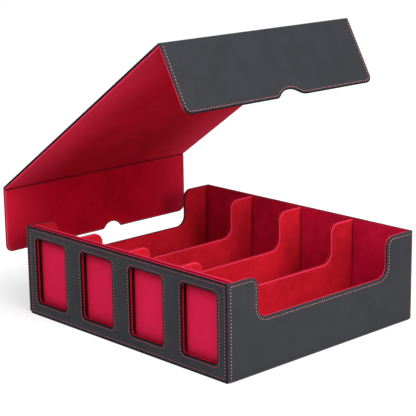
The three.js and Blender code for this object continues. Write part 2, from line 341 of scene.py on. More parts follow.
def leather_material(name, face, edge, gloss):
    """Fine pebbled leather with soft mottling, blended towards its edge colour by the rim attribute: painted shade
    on its edges.
    """
    material, tree, shader, place, rim = surface(name)
    mottle = noise(tree, place, scale=42.0, detail=4.0, roughness=0.6)
    cloud = noise(tree, place, scale=9.0)
    wrinkle = noise(tree, place, scale=300.0, detail=5.0, roughness=0.62)
    pebble = add(tree, "ShaderNodeTexVoronoi", {"Vector": place, "Scale": 900.0}, feature="SMOOTH_F1")
    tone = spread(tree, weighed(tree, mottle, cloud, shares=(0.65, 0.35)), low=0.32, high=0.68)
    skin = shades(tree, tone, face, darkest=0.82, lightest=1.2)
    pores = spread(tree, pebble.outputs["Distance"], low=0.1, high=0.75, to_low=1.0, to_high=0.0)
    pore_strength, pore_shade = 0.15, 1.7
    shine = combined(tree, "MULTIPLY", pores, pore_strength)
    skin = blend_colours(tree, shine, skin, opaque(scaled(face, pore_shade)))
    tree.links.new(blend_colours(tree, rim, skin, opaque(edge)), shader.inputs["Base Color"])
    matt = spread(tree, tone, low=0.0, high=1.0, to_low=0.60, to_high=0.48)
    matt = combined(tree, "ADD", matt, combined(tree, "MULTIPLY", wrinkle, 0.08))
    tree.links.new(matt, shader.inputs["Roughness"])
    roughen(tree, shader, weighed(tree, pores, wrinkle, shares=(0.6, 0.8)), strength=0.55, depth=0.12 * MM)
    shader.inputs["Specular IOR Level"].default_value = gloss
    return material


def suede_material(name, face, edge, mottle=0.24, ends=0.0):
    """Suede with an uneven nap, a painted highlight along its edges and, where asked, towards its ends, and
    painted shade where no light gets to it.
    """
    material, tree, shader, place, rim = surface(name)
    dim = add(tree, "ShaderNodeAttribute", attribute_name="dim").outputs["Fac"]
    patch = noise(tree, place, scale=16.0, detail=3.0, roughness=0.55)
    stroke = noise(tree, place, scale=110.0, detail=3.0, roughness=0.55)
    fibre = noise(tree, place, scale=1500.0, roughness=0.7)
    lie = spread(tree, weighed(tree, patch, stroke, shares=(0.72, 0.28)), low=0.36, high=0.64)
    cloth = shades(tree, lie, face, darkest=1 - mottle, lightest=1 + mottle)
    grain_shade, darkest_shade = 0.75, 0.004
    grain = spread(tree, fibre, low=0.3, high=0.7, to_high=0.25)
    cloth = blend_colours(tree, grain, cloth, opaque(scaled(face, grain_shade)))
    # Where asked, a painted highlight pales the cloth towards its two ends along Y, where light falls on the lid's
    # lining
    if ends:
        along = add(tree, "ShaderNodeSeparateXYZ", {"Vector": place}).outputs["Y"]
        lit_ends = spread(tree, combined(tree, "MULTIPLY", along, along), low=0.004, high=0.021, to_high=ends)
        cloth = blend_colours(tree, lit_ends, cloth, opaque(edge))
    # Painted highlight: the rim attribute, roughened by the nap, blends the cloth towards the pale edge colour
    highlight_and_nap = combined(tree, "ADD", rim, combined(tree, "MULTIPLY", stroke, 0.12))
    edge_highlight = spread(tree, highlight_and_nap, low=0.06, high=1.06)
    cloth = blend_colours(tree, edge_highlight, cloth, opaque(edge))
    cloth = blend_colours(tree, dim, cloth, opaque(scaled(face, darkest_shade)))
    tree.links.new(cloth, shader.inputs["Base Color"])
    matt = spread(tree, lie, low=0.0, high=1.0, to_low=1.0, to_high=0.88)
    tree.links.new(matt, shader.inputs["Roughness"])
    roughen(tree, shader, weighed(tree, fibre, stroke, shares=(0.4, 0.35)), strength=0.5, depth=0.14 * MM)
    shader.inputs["Specular IOR Level"].default_value = 0.015
    shader.inputs["Sheen Weight"].default_value = 0.01
    shader.inputs["Sheen Roughness"].default_value = 0.45
    shader.inputs["Sheen Tint"].default_value = (1.0, 0.3, 0.4, 1.0)
    return material


def thread_material(name, face):
    """Twisted waxed thread."""
    material, tree, shader, place, _ = surface(name)
    uneven = noise(tree, place, scale=320.0, detail=3.0)
    twist = noise(tree, place, scale=2600.0)
    fibre = shades(tree, spread(tree, uneven, low=0.3, high=0.7), face, darkest=0.72, lightest=1.22)
    tree.links.new(fibre, shader.inputs["Base Color"])
    matt = spread(tree, twist, low=0.3, high=0.7, to_low=0.5, to_high=0.75)
    tree.links.new(matt, shader.inputs["Roughness"])
    roughen(tree, shader, twist, strength=0.6, depth=0.1 * MM)
    shader.inputs["Sheen Weight"].default_value = 0.15
    return material


def board_material(name, face):
    """Pressed grey board with fibres and flecks."""
    material, tree, shader, place, _ = surface(name)
    cloud = noise(tree, place, scale=70.0, detail=5.0, roughness=0.65)
    fleck = noise(tree, place, scale=900.0, roughness=0.8)
    pulp = shades(tree, cloud, face, darkest=0.85, lightest=1.1)
    fleck_shade = 0.55
    flecks = spread(tree, fleck, low=0.62, high=0.7, to_high=0.5)
    pulp = blend_colours(tree, flecks, pulp, opaque(scaled(face, fleck_shade)))
    tree.links.new(pulp, shader.inputs["Base Color"])
    matt = spread(tree, cloud, low=0.2, high=0.8, to_low=0.8, to_high=0.95)
    tree.links.new(matt, shader.inputs["Roughness"])
    roughen(tree, shader, fleck, strength=0.4, depth=0.1 * MM)
    return material


def magnet_material(name, face):
    """Plated metal with fine turning marks."""
    material, tree, shader, place, _ = surface(name)
    marks = noise(tree, place, scale=1200.0, detail=3.0, roughness=0.7)
    bloom = noise(tree, place, scale=200.0)
    tree.links.new(shades(tree, bloom, face, darkest=0.85, lightest=1.1), shader.inputs["Base Color"])
    matt = spread(tree, marks, low=0.2, high=0.8, to_low=0.22, to_high=0.42)
    tree.links.new(matt, shader.inputs["Roughness"])
    roughen(tree, shader, marks, strength=0.3, depth=0.03 * MM)
    shader.inputs["Metallic"].default_value = 1.0
    return material


def finish(name):
    """One of the box's materials, made when it is first asked for."""
    if name in bpy.data.materials:
        return bpy.data.materials[name]
    colours = bpy.context.scene.card_box_colours
    black, highlight = colours.leather_edge, colours.lining_edge
    # The flaps' lining is a still darker copy of the lid's lining: painted shade
    flap_share = 0.95
    flap_lining = scaled(colours.lid_lining, flap_share)
    recipes = {
        "dark_leather": partial(leather_material, face=colours.leather, edge=black, gloss=0.25),
        # The two edge finishes are painted light: near-black shade on the leather's rounded edges and foot, and a
        # greyer copy where the side walls' upper edges catch the light
        "sealed_edge": partial(leather_material, face=black, edge=black, gloss=0.05),
        "side_edge": partial(leather_material, face=colours.side_edge, edge=colours.side_edge, gloss=0.3),
        "red_suede": partial(suede_material, face=colours.lining, edge=highlight),
        "rear_suede": partial(suede_material, face=colours.rear_lining, edge=highlight),
        "lid_suede": partial(suede_material, face=colours.lid_lining, edge=highlight, mottle=0.13, ends=0.45),
        "flap_suede": partial(suede_material, face=flap_lining, edge=highlight, mottle=0.16, ends=0.2),
        "display_felt": partial(suede_material, face=colours.felt, edge=highlight, mottle=0.07),
        "fold_suede": partial(suede_material, face=colours.fold, edge=highlight),
        "slot_suede": partial(suede_material, face=colours.slot, edge=highlight),
        "thread": partial(thread_material, face=colours.thread),
        "lid_thread": partial(thread_material, face=colours.lid_thread),
        "front_thread": partial(thread_material, face=colours.front_thread),
        "grey_board": partial(board_material, face=colours.board),
        "plated_steel": partial(magnet_material, face=colours.magnet),
    }
    if name not in recipes:
        raise ValueError(f"no finish is called {name}")
    return recipes[name](name)


# Flat plates with rounded rims


def directions(points):
    """The way from each point to the next one."""
    return [(far - near).normalized() for near, far in zip(points, points[1:] + points[:1])]


def on_the_left(way):
    return Vector((-way.y, way.x))


def turning(before, after):
    return math.atan2(before.x * after.y - before.y * after.x, before.dot(after))


class Outline:
    """A rounded outline. The plate lies on its left: inwards of an edge, outwards of a hole.

    The corners are given as they are, or by a function of the inset where a small corner meets a large one.
    """

    def __init__(self, corners, spacing=EDGE_STEP):
        self.redraw = corners if callable(corners) else None
        first = corners(0.0) if callable(corners) else corners
        self.points = [Vector((x, y)) for x, y, _ in first]
        self.radii = [radius for _, _, radius in first]
        self.ways = directions(self.points)
        self.steps = [
            max(3, math.ceil(abs(turning(self.ways[index - 1], self.ways[index])) / CORNER_STEP))
            for index in range(len(first))
        ]
        bare = self.rounded(0.0)
        gaps = [(far[0] - near[-1]).length for near, far in zip(bare, bare[1:] + bare[:1])]
        self.splits = [max(1, math.ceil(gap / spacing)) for gap in gaps]

    def drawn_in(self, inset):
        """Corner points and radii, with the outline drawn in by the inset."""
        if self.redraw:
            corners = self.redraw(inset)
            return [Vector((x, y)) for x, y, _ in corners], [radius for _, _, radius in corners]
        points, radii = [], []
        for index, point in enumerate(self.points):
            before, after = on_the_left(self.ways[index - 1]), on_the_left(self.ways[index])
            points.append(point + (before + after) * inset / (1 + before.dot(after)))
            side = math.copysign(1.0, turning(self.ways[index - 1], self.ways[index]))
            radii.append(max(LEAST_ROUNDING, self.radii[index] - side * inset) if self.radii[index] else 0.0)
        return points, radii

    def rounded(self, inset):
        """The points of each corner, with the outline drawn in by the inset."""
        points, radii = self.drawn_in(inset)
        ways = directions(points)
        corners = []
        for index, (point, radius, steps) in enumerate(zip(points, radii, self.steps)):
            if radius == 0:
                corners.append([point])
                continue
            turn = turning(ways[index - 1], ways[index])
            start = point - ways[index - 1] * radius * math.tan(abs(turn) / 2)
            centre = start + math.copysign(radius, turn) * on_the_left(ways[index - 1])
            arm = start - centre
            angles = [turn * step / steps for step in range(steps + 1)]
            corners.append([centre + Matrix.Rotation(angle, 2) @ arm for angle in angles])
        return corners

    def ring(self, inset):
        """All points of the outline, drawn in by the inset. Their number is the same for every inset."""
        return self.stretch(inset, 0, len(self.points))

    def stretch(self, inset, first, last):
        """The points from one corner to another, both rounded. A full round stops short of its start."""
        corners = self.rounded(inset)
        count = len(corners)
        points = []
        for index in range(first, last):
            near, far = corners[index % count], corners[(index + 1) % count]
            split = self.splits[index % count]
            points += near
            points += [near[-1].lerp(far[0], step / split) for step in range(1, split)]
        if last - first < count:
            points += corners[last % count]
        return points


def rectangle(x0, x1, y0, y1, radius=0.0):
    return Outline([(x, y, radius) for x, y in ((x0, y0), (x1, y0), (x1, y1), (x0, y1))])


# Turns round a quarter of a rounded edge
QUARTER = [math.radians(step) for step in (0, 30, 60, 90)]


def rounded_rim(low, high, bend):
    """Rings from the back face round a plate's edge to its front face: inset, height, rim share and dip."""
    back = [(bend * (1 - math.sin(turn)), low + bend * (1 - math.cos(turn)), 1.0, 0.0) for turn in QUARTER]
    front = [(bend * (1 - math.cos(turn)), high - bend * (1 - math.sin(turn)), 1.0, 0.0) for turn in QUARTER]
    return back + front


def at_foot(elsewhere):
    """A full rim share along the tray's foot, which paints a contact shadow there, and another one elsewhere."""
    return lambda u, v: 1.0 if v < FOOT + HAIR else elsewhere


def past(start):
    """One beyond a distance from the crease, and nothing before it."""
    return lambda u, v: 1.0 if u > start else 0.0


def between(start, end, margin=HAIR):
    """One between the two ends of a plate, and nothing along the ends themselves."""
    return lambda u, v: 1.0 if start + margin < u < end - margin else 0.0


# A stitch groove: half its width, how black its painted shade is, and its depth by place across, both as shares
GROOVE_REACH = 1.0 * MM
GROOVE_SHADE = 0.95
GROOVE = ((-0.55, 0.35), (-0.25, 0.8), (0.0, 1.0), (0.25, 0.8), (0.55, 0.35), (1.0, 0.0))

# How far the painted shade of a black edge takes to end
BLUR = 0.05 * MM


def leather_rim(low, high, sizes, inset=None, foot=False):
    """A rounded edge blackened with painted shade, then a groove where the stitches pull the leather in, also
    darkened with painted shade.
    """
    inset = sizes.stitch_inset if inset is None else inset
    bend = min(sizes.rim, (high - low) / 2)
    half = 0.5
    face = [(sizes.sealed, high, 1.0, 0.0), (sizes.sealed + BLUR, high, at_foot(half) if foot else half, 0.0)]
    if foot:
        face += [(sizes.foot_shade_reach, high, at_foot(0.0), 0.0), (sizes.foot_shade_reach + BLUR, high, 0.0, 0.0)]
    face += [(inset - GROOVE_REACH, high, 0.0, 0.0)]
    groove = [
        (inset + across * GROOVE_REACH, high, GROOVE_SHADE * depth, depth * sizes.groove)
        for across, depth in GROOVE
    ]
    return rounded_rim(low, high, bend) + face + groove


# A suede edge: its rounding, the least number of roundings and flats across its thickness, how strong its painted
# highlight is from its side to its face and further in, and how dark the painted shade in the middle of its side
# is
SUEDE_BEND = 0.8 * MM
SUEDE_FLAT = 0.45 * MM
LEAST_BENDS = 2.5
LEAST_FLATS = 2.2
ARRIS = (0.9, 1.0, 1.0, 0.4)
HIGHLIGHT_START = 0.4 * MM
HIGHLIGHT_FACE = ((2.0 * MM, 0.06), (4.5 * MM, 0.0))
MIDDLE_SHADE = 0.2


def suede_rim(low, high, both=False, margin=0.0, back=1.0, front=1.0, dark=0.0):
    """A softly rounded edge with a painted highlight along each arris, as strong as the back and front shares say,
    and painted shade as dark as dark says.
    """
    bend = min(SUEDE_BEND, (high - low) / LEAST_BENDS)
    flat = min(SUEDE_FLAT, (high - low - 2 * bend) / LEAST_FLATS)
    shares = [share * back for share in reversed(ARRIS)] + [share * front for share in ARRIS]
    rings = [(*ring[:2], share, 0.0, dark) for ring, share in zip(rounded_rim(low, high, bend), shares)]
    heights = (low + bend + flat, high - bend - flat)
    middle = [(0.0, height, 0.0, 0.0, dark + MIDDLE_SHADE) for height in heights]
    rings[len(QUARTER):len(QUARTER)] = middle
    edge_highlight = [(inset, high, share * front, 0.0) for inset, share in ((bend + HIGHLIGHT_START, 0.15), *HIGHLIGHT_FACE)]
    rings += edge_highlight
    if both:
        rings = [(inset, low, *ring) for inset, _, *ring in reversed(edge_highlight)] + rings
    return [(inset + margin, *ring) for inset, *ring in rings]


def keep_one(u, v):
    return 1.0


def keep_none(u, v):
    return 0.0


def fade(distance, table):
    """The share that a table of distances and shares gives, with its ends held."""
    for (near, low), (far, high) in zip(table, table[1:]):
        if distance < far:
            return low + (high - low) * max(0.0, distance - near) / (far - near)
    return table[-1][1]


# How dark the painted shade on a lining is by its distance from the wall that it meets, in millimetres, and how
# far below its top edge that ends
END_SHADE = ((0.0, 0.96), (0.8, 0.9), (1.2, 0.6), (2.0, 0.2), (4.5, 0.0))
SHADE_DROP = 0.9 * MM


def shaded(start, end, top):
    """Painted shade towards both ends of a plate, up to its top edge."""
    return lambda u, v: fade(min(u - start, end - u) / MM, END_SHADE) if v < top - SHADE_DROP else 0.0


class Plate:
    """A flat plate whose faces lie across h, put in place by a function of u, v and h."""

    def __init__(self, name, place):
        self.name = name
        self.place = place
        self.vertices = []
        self.rims = []
        self.dims = []
        self.faces = []
        self.smooth = []

    def skirt(self, outline, profile, rimmed=keep_one, dipped=keep_one, dimmed=keep_none):
        """Rings along one outline. Gives back the first and the last of them."""
        bare = outline.ring(0.0)
        rows = []
        for inset, height, share, dip, *dark in profile:
            row = []
            full = share if callable(share) else lambda u, v, share=share: share * rimmed(u, v)
            for point, origin in zip(outline.ring(inset), bare, strict=True):
                row.append(len(self.vertices))
                sunk = height - (dip * dipped(origin.x, origin.y) if dip else 0.0)
                self.vertices.append((point.x, point.y, sunk))
                self.rims.append(full(origin.x, origin.y))
                self.dims.append(max(dimmed(point.x, point.y), *dark, 0.0))
            rows.append(row)
        for below, above in zip(rows, rows[1:]):
            for near, far in zip(range(len(below)), list(range(1, len(below))) + [0]):
                self.faces.append((below[near], below[far], above[far], above[near]))
                self.smooth.append(True)
        return rows[0], rows[-1]

    def cap(self, rows):
        """A flat face inside the first row and round the others."""
        loops = [[Vector((*self.vertices[index][:2], 0.0)) for index in row] for row in rows]
        flat = [index for row in rows for index in row]
        for triangle in tessellate_polygon(loops):
            self.faces.append(tuple(flat[corner] for corner in triangle))
            self.smooth.append(False)

    def build(self, material, rim_material=None):
        """The plate's object, closed and with its faces outwards. The full rim can have its own material, which
        paints shade on the edge.
        """
        mesh = bpy.data.meshes.new(self.name)
        mesh.from_pydata([self.place(*vertex) for vertex in self.vertices], [], self.faces)
        mesh.polygons.foreach_set("use_smooth", self.smooth)
        if rim_material:
            rims = [int(all(self.rims[index] > 0.99 for index in face)) for face in self.faces]
            mesh.polygons.foreach_set("material_index", rims)
        mesh.attributes.new("rim", "FLOAT", "POINT").data.foreach_set("value", self.rims)
        mesh.attributes.new("dim", "FLOAT", "POINT").data.foreach_set("value", self.dims)
        turn_outwards(mesh, PLATE_SHARP, joined=DOUBLED)
        mesh.materials.append(finish(material))
        if rim_material:
            mesh.materials.append(finish(rim_material))
        return link(self.name, mesh)


# Points that are nearer than this become one
DOUBLED = 0.002 * MM


def turn_outwards(mesh, sharp, joined=None):
    """Turns a closed mesh's faces outwards and marks its sharp edges, after joining its doubled points."""
    work = bmesh.new()
    work.from_mesh(mesh)
    if joined:
        bmesh.ops.remove_doubles(work, verts=work.verts, dist=joined)
    bmesh.ops.recalc_face_normals(work, faces=work.faces)
    work.to_mesh(mesh)
    work.free()
    mesh.set_sharp_from_angle(angle=sharp)


def link(name, mesh):
    piece = bpy.data.objects.new(name, mesh)
    bpy.context.scene.collection.objects.link(piece)
    return piece


def plate(name, place, edge, profile, material, holes=(), hole_profile=None, seal=None, **shares):
    """A plate with an edge and holes, each with its rings, and a finish of its own that paints shade on the full
    rim.
    """
    work = Plate(name, place)
    ends = [work.skirt(edge, profile, **shares)]
    ends += [work.skirt(hole, hole_profile) for hole in holes]
    work.cap([first for first, _ in ends])
    work.cap([last for _, last in ends])
    return work.build(material, seal)


def settle(piece, body, slot, *nodes):
    """Puts a finished piece on the body that it rides on and hides the frame's parts that it stands for; its slot
    is not used.
    """
    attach(piece, body)
    if nodes:
        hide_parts(*nodes)
    return piece


# Where each plate lies: u and v across it, h towards its outer face


def facing_front(outer):
    """Drawn in X and Z, with its outer face at the given Y towards the front."""
    return lambda u, v, h: Vector((u, outer - h, v))


def facing_back(outer):
    return lambda u, v, h: Vector((u, outer + h, v))


def facing_left(outer):
    """Drawn in Y and Z, with its outer face towards the left."""
    return lambda u, v, h: Vector((outer - h, u, v))


def facing_right(outer):
    return lambda u, v, h: Vector((outer + h, u, v))


def facing_up(outer):
    return lambda u, v, h: Vector((u, v, outer + h))


def lid_place(crease, run, out):
    """A lid plate: u from its crease outwards, v along the crease, h from its middle plane outwards."""
    return lambda u, v, h: crease + run * u + out * h + Vector((0.0, v, 0.0))


def sloped(angle):
    """Run and outer direction of a lid plate at an angle to the level."""
    return Vector((math.cos(angle), 0, math.sin(angle))), Vector((-math.sin(angle), 0, math.cos(angle)))


def lid_directions(sizes):
    """Run and outer direction of the left flap, the panel and the right flap."""
    slope = math.atan2(PANEL_RUN.z, PANEL_RUN.x)
    return {
        "left_flap": (Vector((0, 0, -1)), Vector((-1, 0, 0))),
        "panel": sloped(slope),
        "right_flap": sloped(slope - sizes.right_fold),
    }


# Outlines


def row_centre(row):
    return (row - (ROWS - 1) / 2) * DIVIDER_PITCH


def window(sizes, centre):
    """A window's outline, as a hole."""
    half = sizes.window_width / 2
    low, high = sizes.window_sill, TOP - sizes.window_headroom
    corners = [(centre - half, low), (centre - half, high), (centre + half, high), (centre + half, low)]
    return Outline([(x, z, sizes.window_radius) for x, z in corners])


def cut_side(sizes, start, end, bottom, top, drop=0.0, foot=0.0, shoulder=0.0):
    """A wall or divider: a full-height post at each end and a lowered middle with round corners."""
    near, far = FRONT + sizes.post, BACK - sizes.post
    low = sizes.cut - drop
    post, hollow = sizes.post_radius, sizes.hollow_radius
    middle = [(far, top, post), (far, low, hollow), (near, low, hollow), (near, top, post)]
    rear = [(end, bottom, foot), (end, top, shoulder)]
    front = [(start, top, shoulder), (start, bottom, foot)]
    return Outline([*rear, *middle, *front])


def flap_outline(sizes, side, start, margin=0.0):
    """A flap from its crease outwards, with round outer corners and a thumb notch."""
    half = LID_HALF_DEPTH
    shift, notch, depth = (getattr(sizes, f"{side}_notch_{part}") for part in ("shift", "radius", "depth"))
    shoulders = [getattr(sizes, f"{side}_notch_{part}") for part in ("shoulder", "slope")]
    free_edge = LEFT_FLAP_REACH - margin - (sizes.right_trim if side == "right" else 0.0)

    def corners(inset):
        edge = free_edge - inset
        wide = notch + inset
        centre = free_edge + notch - depth
        turns, reaches, radii = [], [], []
        for shoulder in shoulders:
            radius = max(LEAST_SHOULDER, shoulder - inset)
            drop = centre - edge + radius
            apart = math.sqrt((wide + radius) ** 2 - drop * drop)
            turns.append(math.atan2(apart, drop))
            reaches.append(apart - radius * math.tan(turns[-1] / 2))
            radii.append(radius)
        near, far = turns
        bottom = centre - wide * (math.sin(near) + math.sin(far)) / math.sin(near + far)
        middle = shift + wide * (math.cos(near) - math.cos(far)) / math.sin(near + far)
        outer = half - inset
        round_corner = sizes.flap_radius - inset
        crease_corner = max(LEAST_CORNER, CORNER - inset)
        return [
            (start + inset, outer, crease_corner),
            (start + inset, -outer, crease_corner),
            (edge, -outer, round_corner),
            (edge, shift - reaches[0], radii[0]),
            (bottom, middle, wide),
            (edge, shift + reaches[1], radii[1]),
            (edge, outer, round_corner),
        ]

    return Outline(corners)


# Geometry Nodes


def node_group(name, inputs):
    """An empty tree that takes a geometry and the named inputs and gives a geometry."""
    group = bpy.data.node_groups.new(name, "GeometryNodeTree")
    group.interface.new_socket("Geometry", in_out="INPUT", socket_type="NodeSocketGeometry")
    for label, kind in inputs:
        group.interface.new_socket(label, in_out="INPUT", socket_type=kind)
    group.interface.new_socket("Geometry", in_out="OUTPUT", socket_type="NodeSocketGeometry")
    entry = add(group, "NodeGroupInput").outputs
    leave = add(group, "NodeGroupOutput")
    return group, entry, leave


def close_tree(group, entry, leave, placed):
    """Ends a tree: its copies become real and take the material."""
    solid = add(group, "GeometryNodeRealizeInstances", {"Geometry": placed.outputs[0]})
    inputs = {"Geometry": solid.outputs[0], "Material": entry["Material"]}
    coloured = add(group, "GeometryNodeSetMaterial", inputs)
    group.links.new(coloured.outputs[0], leave.inputs[0])


def scatter(group, reach, axes, seed):
    """A random vector that reaches as far back as forth along the named axes."""
    back = combined(group, "MULTIPLY", reach, -1.0)
    low, high = (
        add(group, "ShaderNodeCombineXYZ", dict.fromkeys(axes, end)).outputs[0] for end in (back, reach)
    )
    inputs = {0: low, 1: high, "Seed": seed}
    return add(group, "FunctionNodeRandomValue", inputs, data_type="FLOAT_VECTOR").outputs[0]


def thread_bead(group, entry):
    """One thread: a slim round bead of the given length and radius."""
    bead = add(group, "GeometryNodeMeshUVSphere", {"Segments": 8, "Rings": 6, "Radius": 1.0})
    half = combined(group, "MULTIPLY", entry["Length"], 0.5)
    size = add(group, "ShaderNodeCombineXYZ", {"X": entry["Radius"], "Y": entry["Radius"], "Z": half})
    inputs = {"Geometry": bead.outputs["Mesh"], "Scale": size.outputs[0]}
    thread = add(group, "GeometryNodeTransform", inputs)
    return add(group, "GeometryNodeSetShadeSmooth", {"Geometry": thread.outputs[0]}).outputs[0]


def stitch_group():
    """Threads along a line, each slightly uneven in place and turn."""
    name = "stitches along a line"
    if name in bpy.data.node_groups:
        return bpy.data.node_groups[name]
    numbers = [(label, "NodeSocketFloat") for label in ("Pitch", "Length", "Radius", "Shift", "Turn")]
    inputs = [*numbers, ("Seed", "NodeSocketInt"), ("Material", "NodeSocketMaterial")]
    group, entry, leave = node_group(name, inputs)
    line = add(group, "GeometryNodeMeshToCurve", {"Mesh": entry["Geometry"]})
    inputs = {"Curve": line.outputs[0], "Length": entry["Pitch"]}
    points = add(group, "GeometryNodeCurveToPoints", inputs, mode="LENGTH")
    move = scatter(group, entry["Shift"], "XYZ", entry["Seed"])
    inputs = {"Geometry": points.outputs["Points"], "Offset": move}
    moved = add(group, "GeometryNodeSetPosition", inputs)
    lean = scatter(group, entry["Turn"], "XY", combined(group, "ADD", entry["Seed"], 1.0))
    turn = add(group, "FunctionNodeEulerToRotation", {"Euler": lean})
    inputs = {0: points.outputs["Rotation"], 1: turn.outputs[0]}
    turned = add(group, "FunctionNodeRotateRotation", inputs, rotation_space="LOCAL")
    thread = thread_bead(group, entry)
    inputs = {"Points": moved.outputs[0], "Instance": thread, "Rotation": turned.outputs[0]}
    close_tree(group, entry, leave, add(group, "GeometryNodeInstanceOnPoints", inputs))
    return group


def row_group():
    """Copies of one piece in a straight row."""
    name = "pieces in a row"
    if name in bpy.data.node_groups:
        return bpy.data.node_groups[name]
    inputs = [("Count", "NodeSocketInt"), ("Step", "NodeSocketVector"), ("Material", "NodeSocketMaterial")]
    group, entry, leave = node_group(name, inputs)
    inputs = {"Count": entry["Count"], "Offset": entry["Step"]}
    line = add(group, "GeometryNodeMeshLine", inputs, mode="OFFSET")
    inputs = {"Points": line.outputs[0], "Instance": entry["Geometry"]}
    close_tree(group, entry, leave, add(group, "GeometryNodeInstanceOnPoints", inputs))
    return group


def grown(piece, group, values):
    """Runs a tree on a piece and keeps the result as a plain mesh."""
    modifier = piece.modifiers.new(group.name, "NODES")
    modifier.node_group = group
    for socket in group.interface.items_tree:
        if socket.in_out == "INPUT" and socket.name in values:
            modifier[socket.identifier] = values[socket.name]
    view = bpy.context.evaluated_depsgraph_get()
    view.update()
    shown = piece.evaluated_get(view)
    mesh = bpy.data.meshes.new_from_object(shown, preserve_all_data_layers=True, depsgraph=view)
    mesh.name = piece.name
    piece.modifiers.clear()
    old = piece.data
    piece.data = mesh
    bpy.data.meshes.remove(old)
    if not mesh.polygons:
        raise RuntimeError(f"{piece.name} came out empty")
    return piece


# The tray

# The collar that lines a window: its width, the bend at its lip, how dark its inside and its lip are painted as
# shade, and its rings from the rear face inwards, with inset and height in millimetres, then rim share (painted
# highlight), dip and painted shade
COLLAR = 0.5 * MM
COLLAR_BEND = 0.2 * MM
COLLAR_SHADE = 0.45
LIP_SHADE = 0.4
COLLAR_REAR = (
    (4.0, 0.0, 0.0, 0.0),
    (1.2, 0.0, 0.1, 0.0),
    (0.4, 0.0, 0.3, 0.0),
    (0.1, 0.15, 0.4, 0.0),
    (0.0, 0.5, 0.1, 0.0, 0.3),
)

# The bevel where the leather turns in behind a window's edge
TUCK_BEVEL = 0.1 * MM


def collar_rings(split, lip):
    """Rings of the front's lining round a window: up the collar, over its lip and down to the board."""
    rings = [(inset * MM, height * MM, *ring) for inset, height, *ring in COLLAR_REAR]
    rings += [(0.0, lip - COLLAR_BEND, 0.0, 0.0, COLLAR_SHADE)]
    rings += [(inset, lip, 0.0, 0.0, LIP_SHADE) for inset in (COLLAR_BEND / 2, COLLAR)]
    return rings + [(inset, split, 0.0, 0.0) for inset in (COLLAR, 3 * COLLAR)]


def tuck_rings(low, lip, sizes):
    """Rings of the front's leather round a window, from its rear face round the collar to its lip, at a full rim
    share that paints the edge black as shade.
    """
    under, edge = COLLAR + sizes.seam, lip + sizes.seam
    path = [(under + 2 * COLLAR, low), (under, low), (under, edge)]
    path += [(TUCK_BEVEL, edge), (0.0, edge + TUCK_BEVEL)]
    return [(inset, height, 1.0, 0.0) for inset, height in path]


def make_front(sizes):
    """Front frame: leather and lining plates, and the collars that line the windows."""
    thickness = FRAME_REAR - FRONT
    split = thickness - sizes.front_skin
    place = facing_front(FRAME_REAR)
    half = SIDE - sizes.skin - sizes.seam
    edge = rectangle(-half, half, FRONT_FOOT, TOP)
    low, lip = split + sizes.seam, thickness - sizes.window_lip
    holes = [window(sizes, row_centre(row)) for row in range(ROWS)]
    face = leather_rim(low, thickness, sizes, sizes.window_stitch_inset)[len(QUARTER):]
    rings = leather_rim(low, thickness, sizes, foot=True)
    around = tuck_rings(low, lip, sizes) + face
    skin = plate("front_skin", place, edge, rings, "dark_leather", holes, around, seal="sealed_edge")
    settle(skin, "tray", "leather", "front_leather")

    edge = rectangle(-half, half, LINED_BASE, TOP)
    around = collar_rings(split, lip)
    lining = plate("front_lining", place, edge, suede_rim(0, split), "red_suede", holes, around)
    settle(lining, "tray", "lining", "front_frame_board", "front_frame_lining")


# How much light the felt gets, by distance inwards from a window's edge and down from the top, in millimetres
SIDE_LIGHT = ((-4.8, 0.01), (-3.2, 0.03), (-1.5, 0.18), (0.0, 0.65), (1.5, 0.94), (3.0, 1.0))
UPPER_LIGHT = ((-3.0, 0.03), (0.0, 0.16), (2.5, 0.30), (6.0, 0.63), (10.0, 0.90), (15.0, 1.0))
LOWER_LIGHT = ((-4.8, 0.1), (-1.6, 0.9), (3.0, 0.95), (9.0, 1.0))
TOP_LIGHT = ((0.0, 0.7), (1.5, 0.4), (5.0, 0.02))

# How far the felt stays under the top edge, and how thick it is
FELT_DROP = 0.5 * MM
FELT_DEPTH = 1.5 * MM


def felt_lines(sizes):
    """Where the felt's grid lines run across and up: at every distance that the tables of light name."""
    half = sizes.window_width / 2
    low, high, top = sizes.window_sill, TOP - sizes.window_headroom, TOP - FELT_DROP
    across, up = {-INNER_SIDE, INNER_SIDE}, {STAND_BASE, top}
    for row in range(ROWS):
        for distance, _ in SIDE_LIGHT:
            across |= {row_centre(row) - half + distance * MM, row_centre(row) + half - distance * MM}
    up |= {low + distance * MM for distance, _ in LOWER_LIGHT}
    up |= {high - distance * MM for distance, _ in UPPER_LIGHT}
    up |= {top - distance * MM for distance, _ in TOP_LIGHT}
    return sorted(across), sorted(up)


def felt_light(sizes, u, v):
    """How much light a place on the felt gets, through the windows and from above."""
    half = sizes.window_width / 2
    below, above = (v - sizes.window_sill) / MM, (TOP - sizes.window_headroom - v) / MM
    inwards = max(half - abs(u - row_centre(row)) for row in range(ROWS)) / MM
    through = fade(inwards, SIDE_LIGHT) * fade(below, LOWER_LIGHT) * fade(above, UPPER_LIGHT)
    return max(through, fade((TOP - FELT_DROP - v) / MM, TOP_LIGHT))


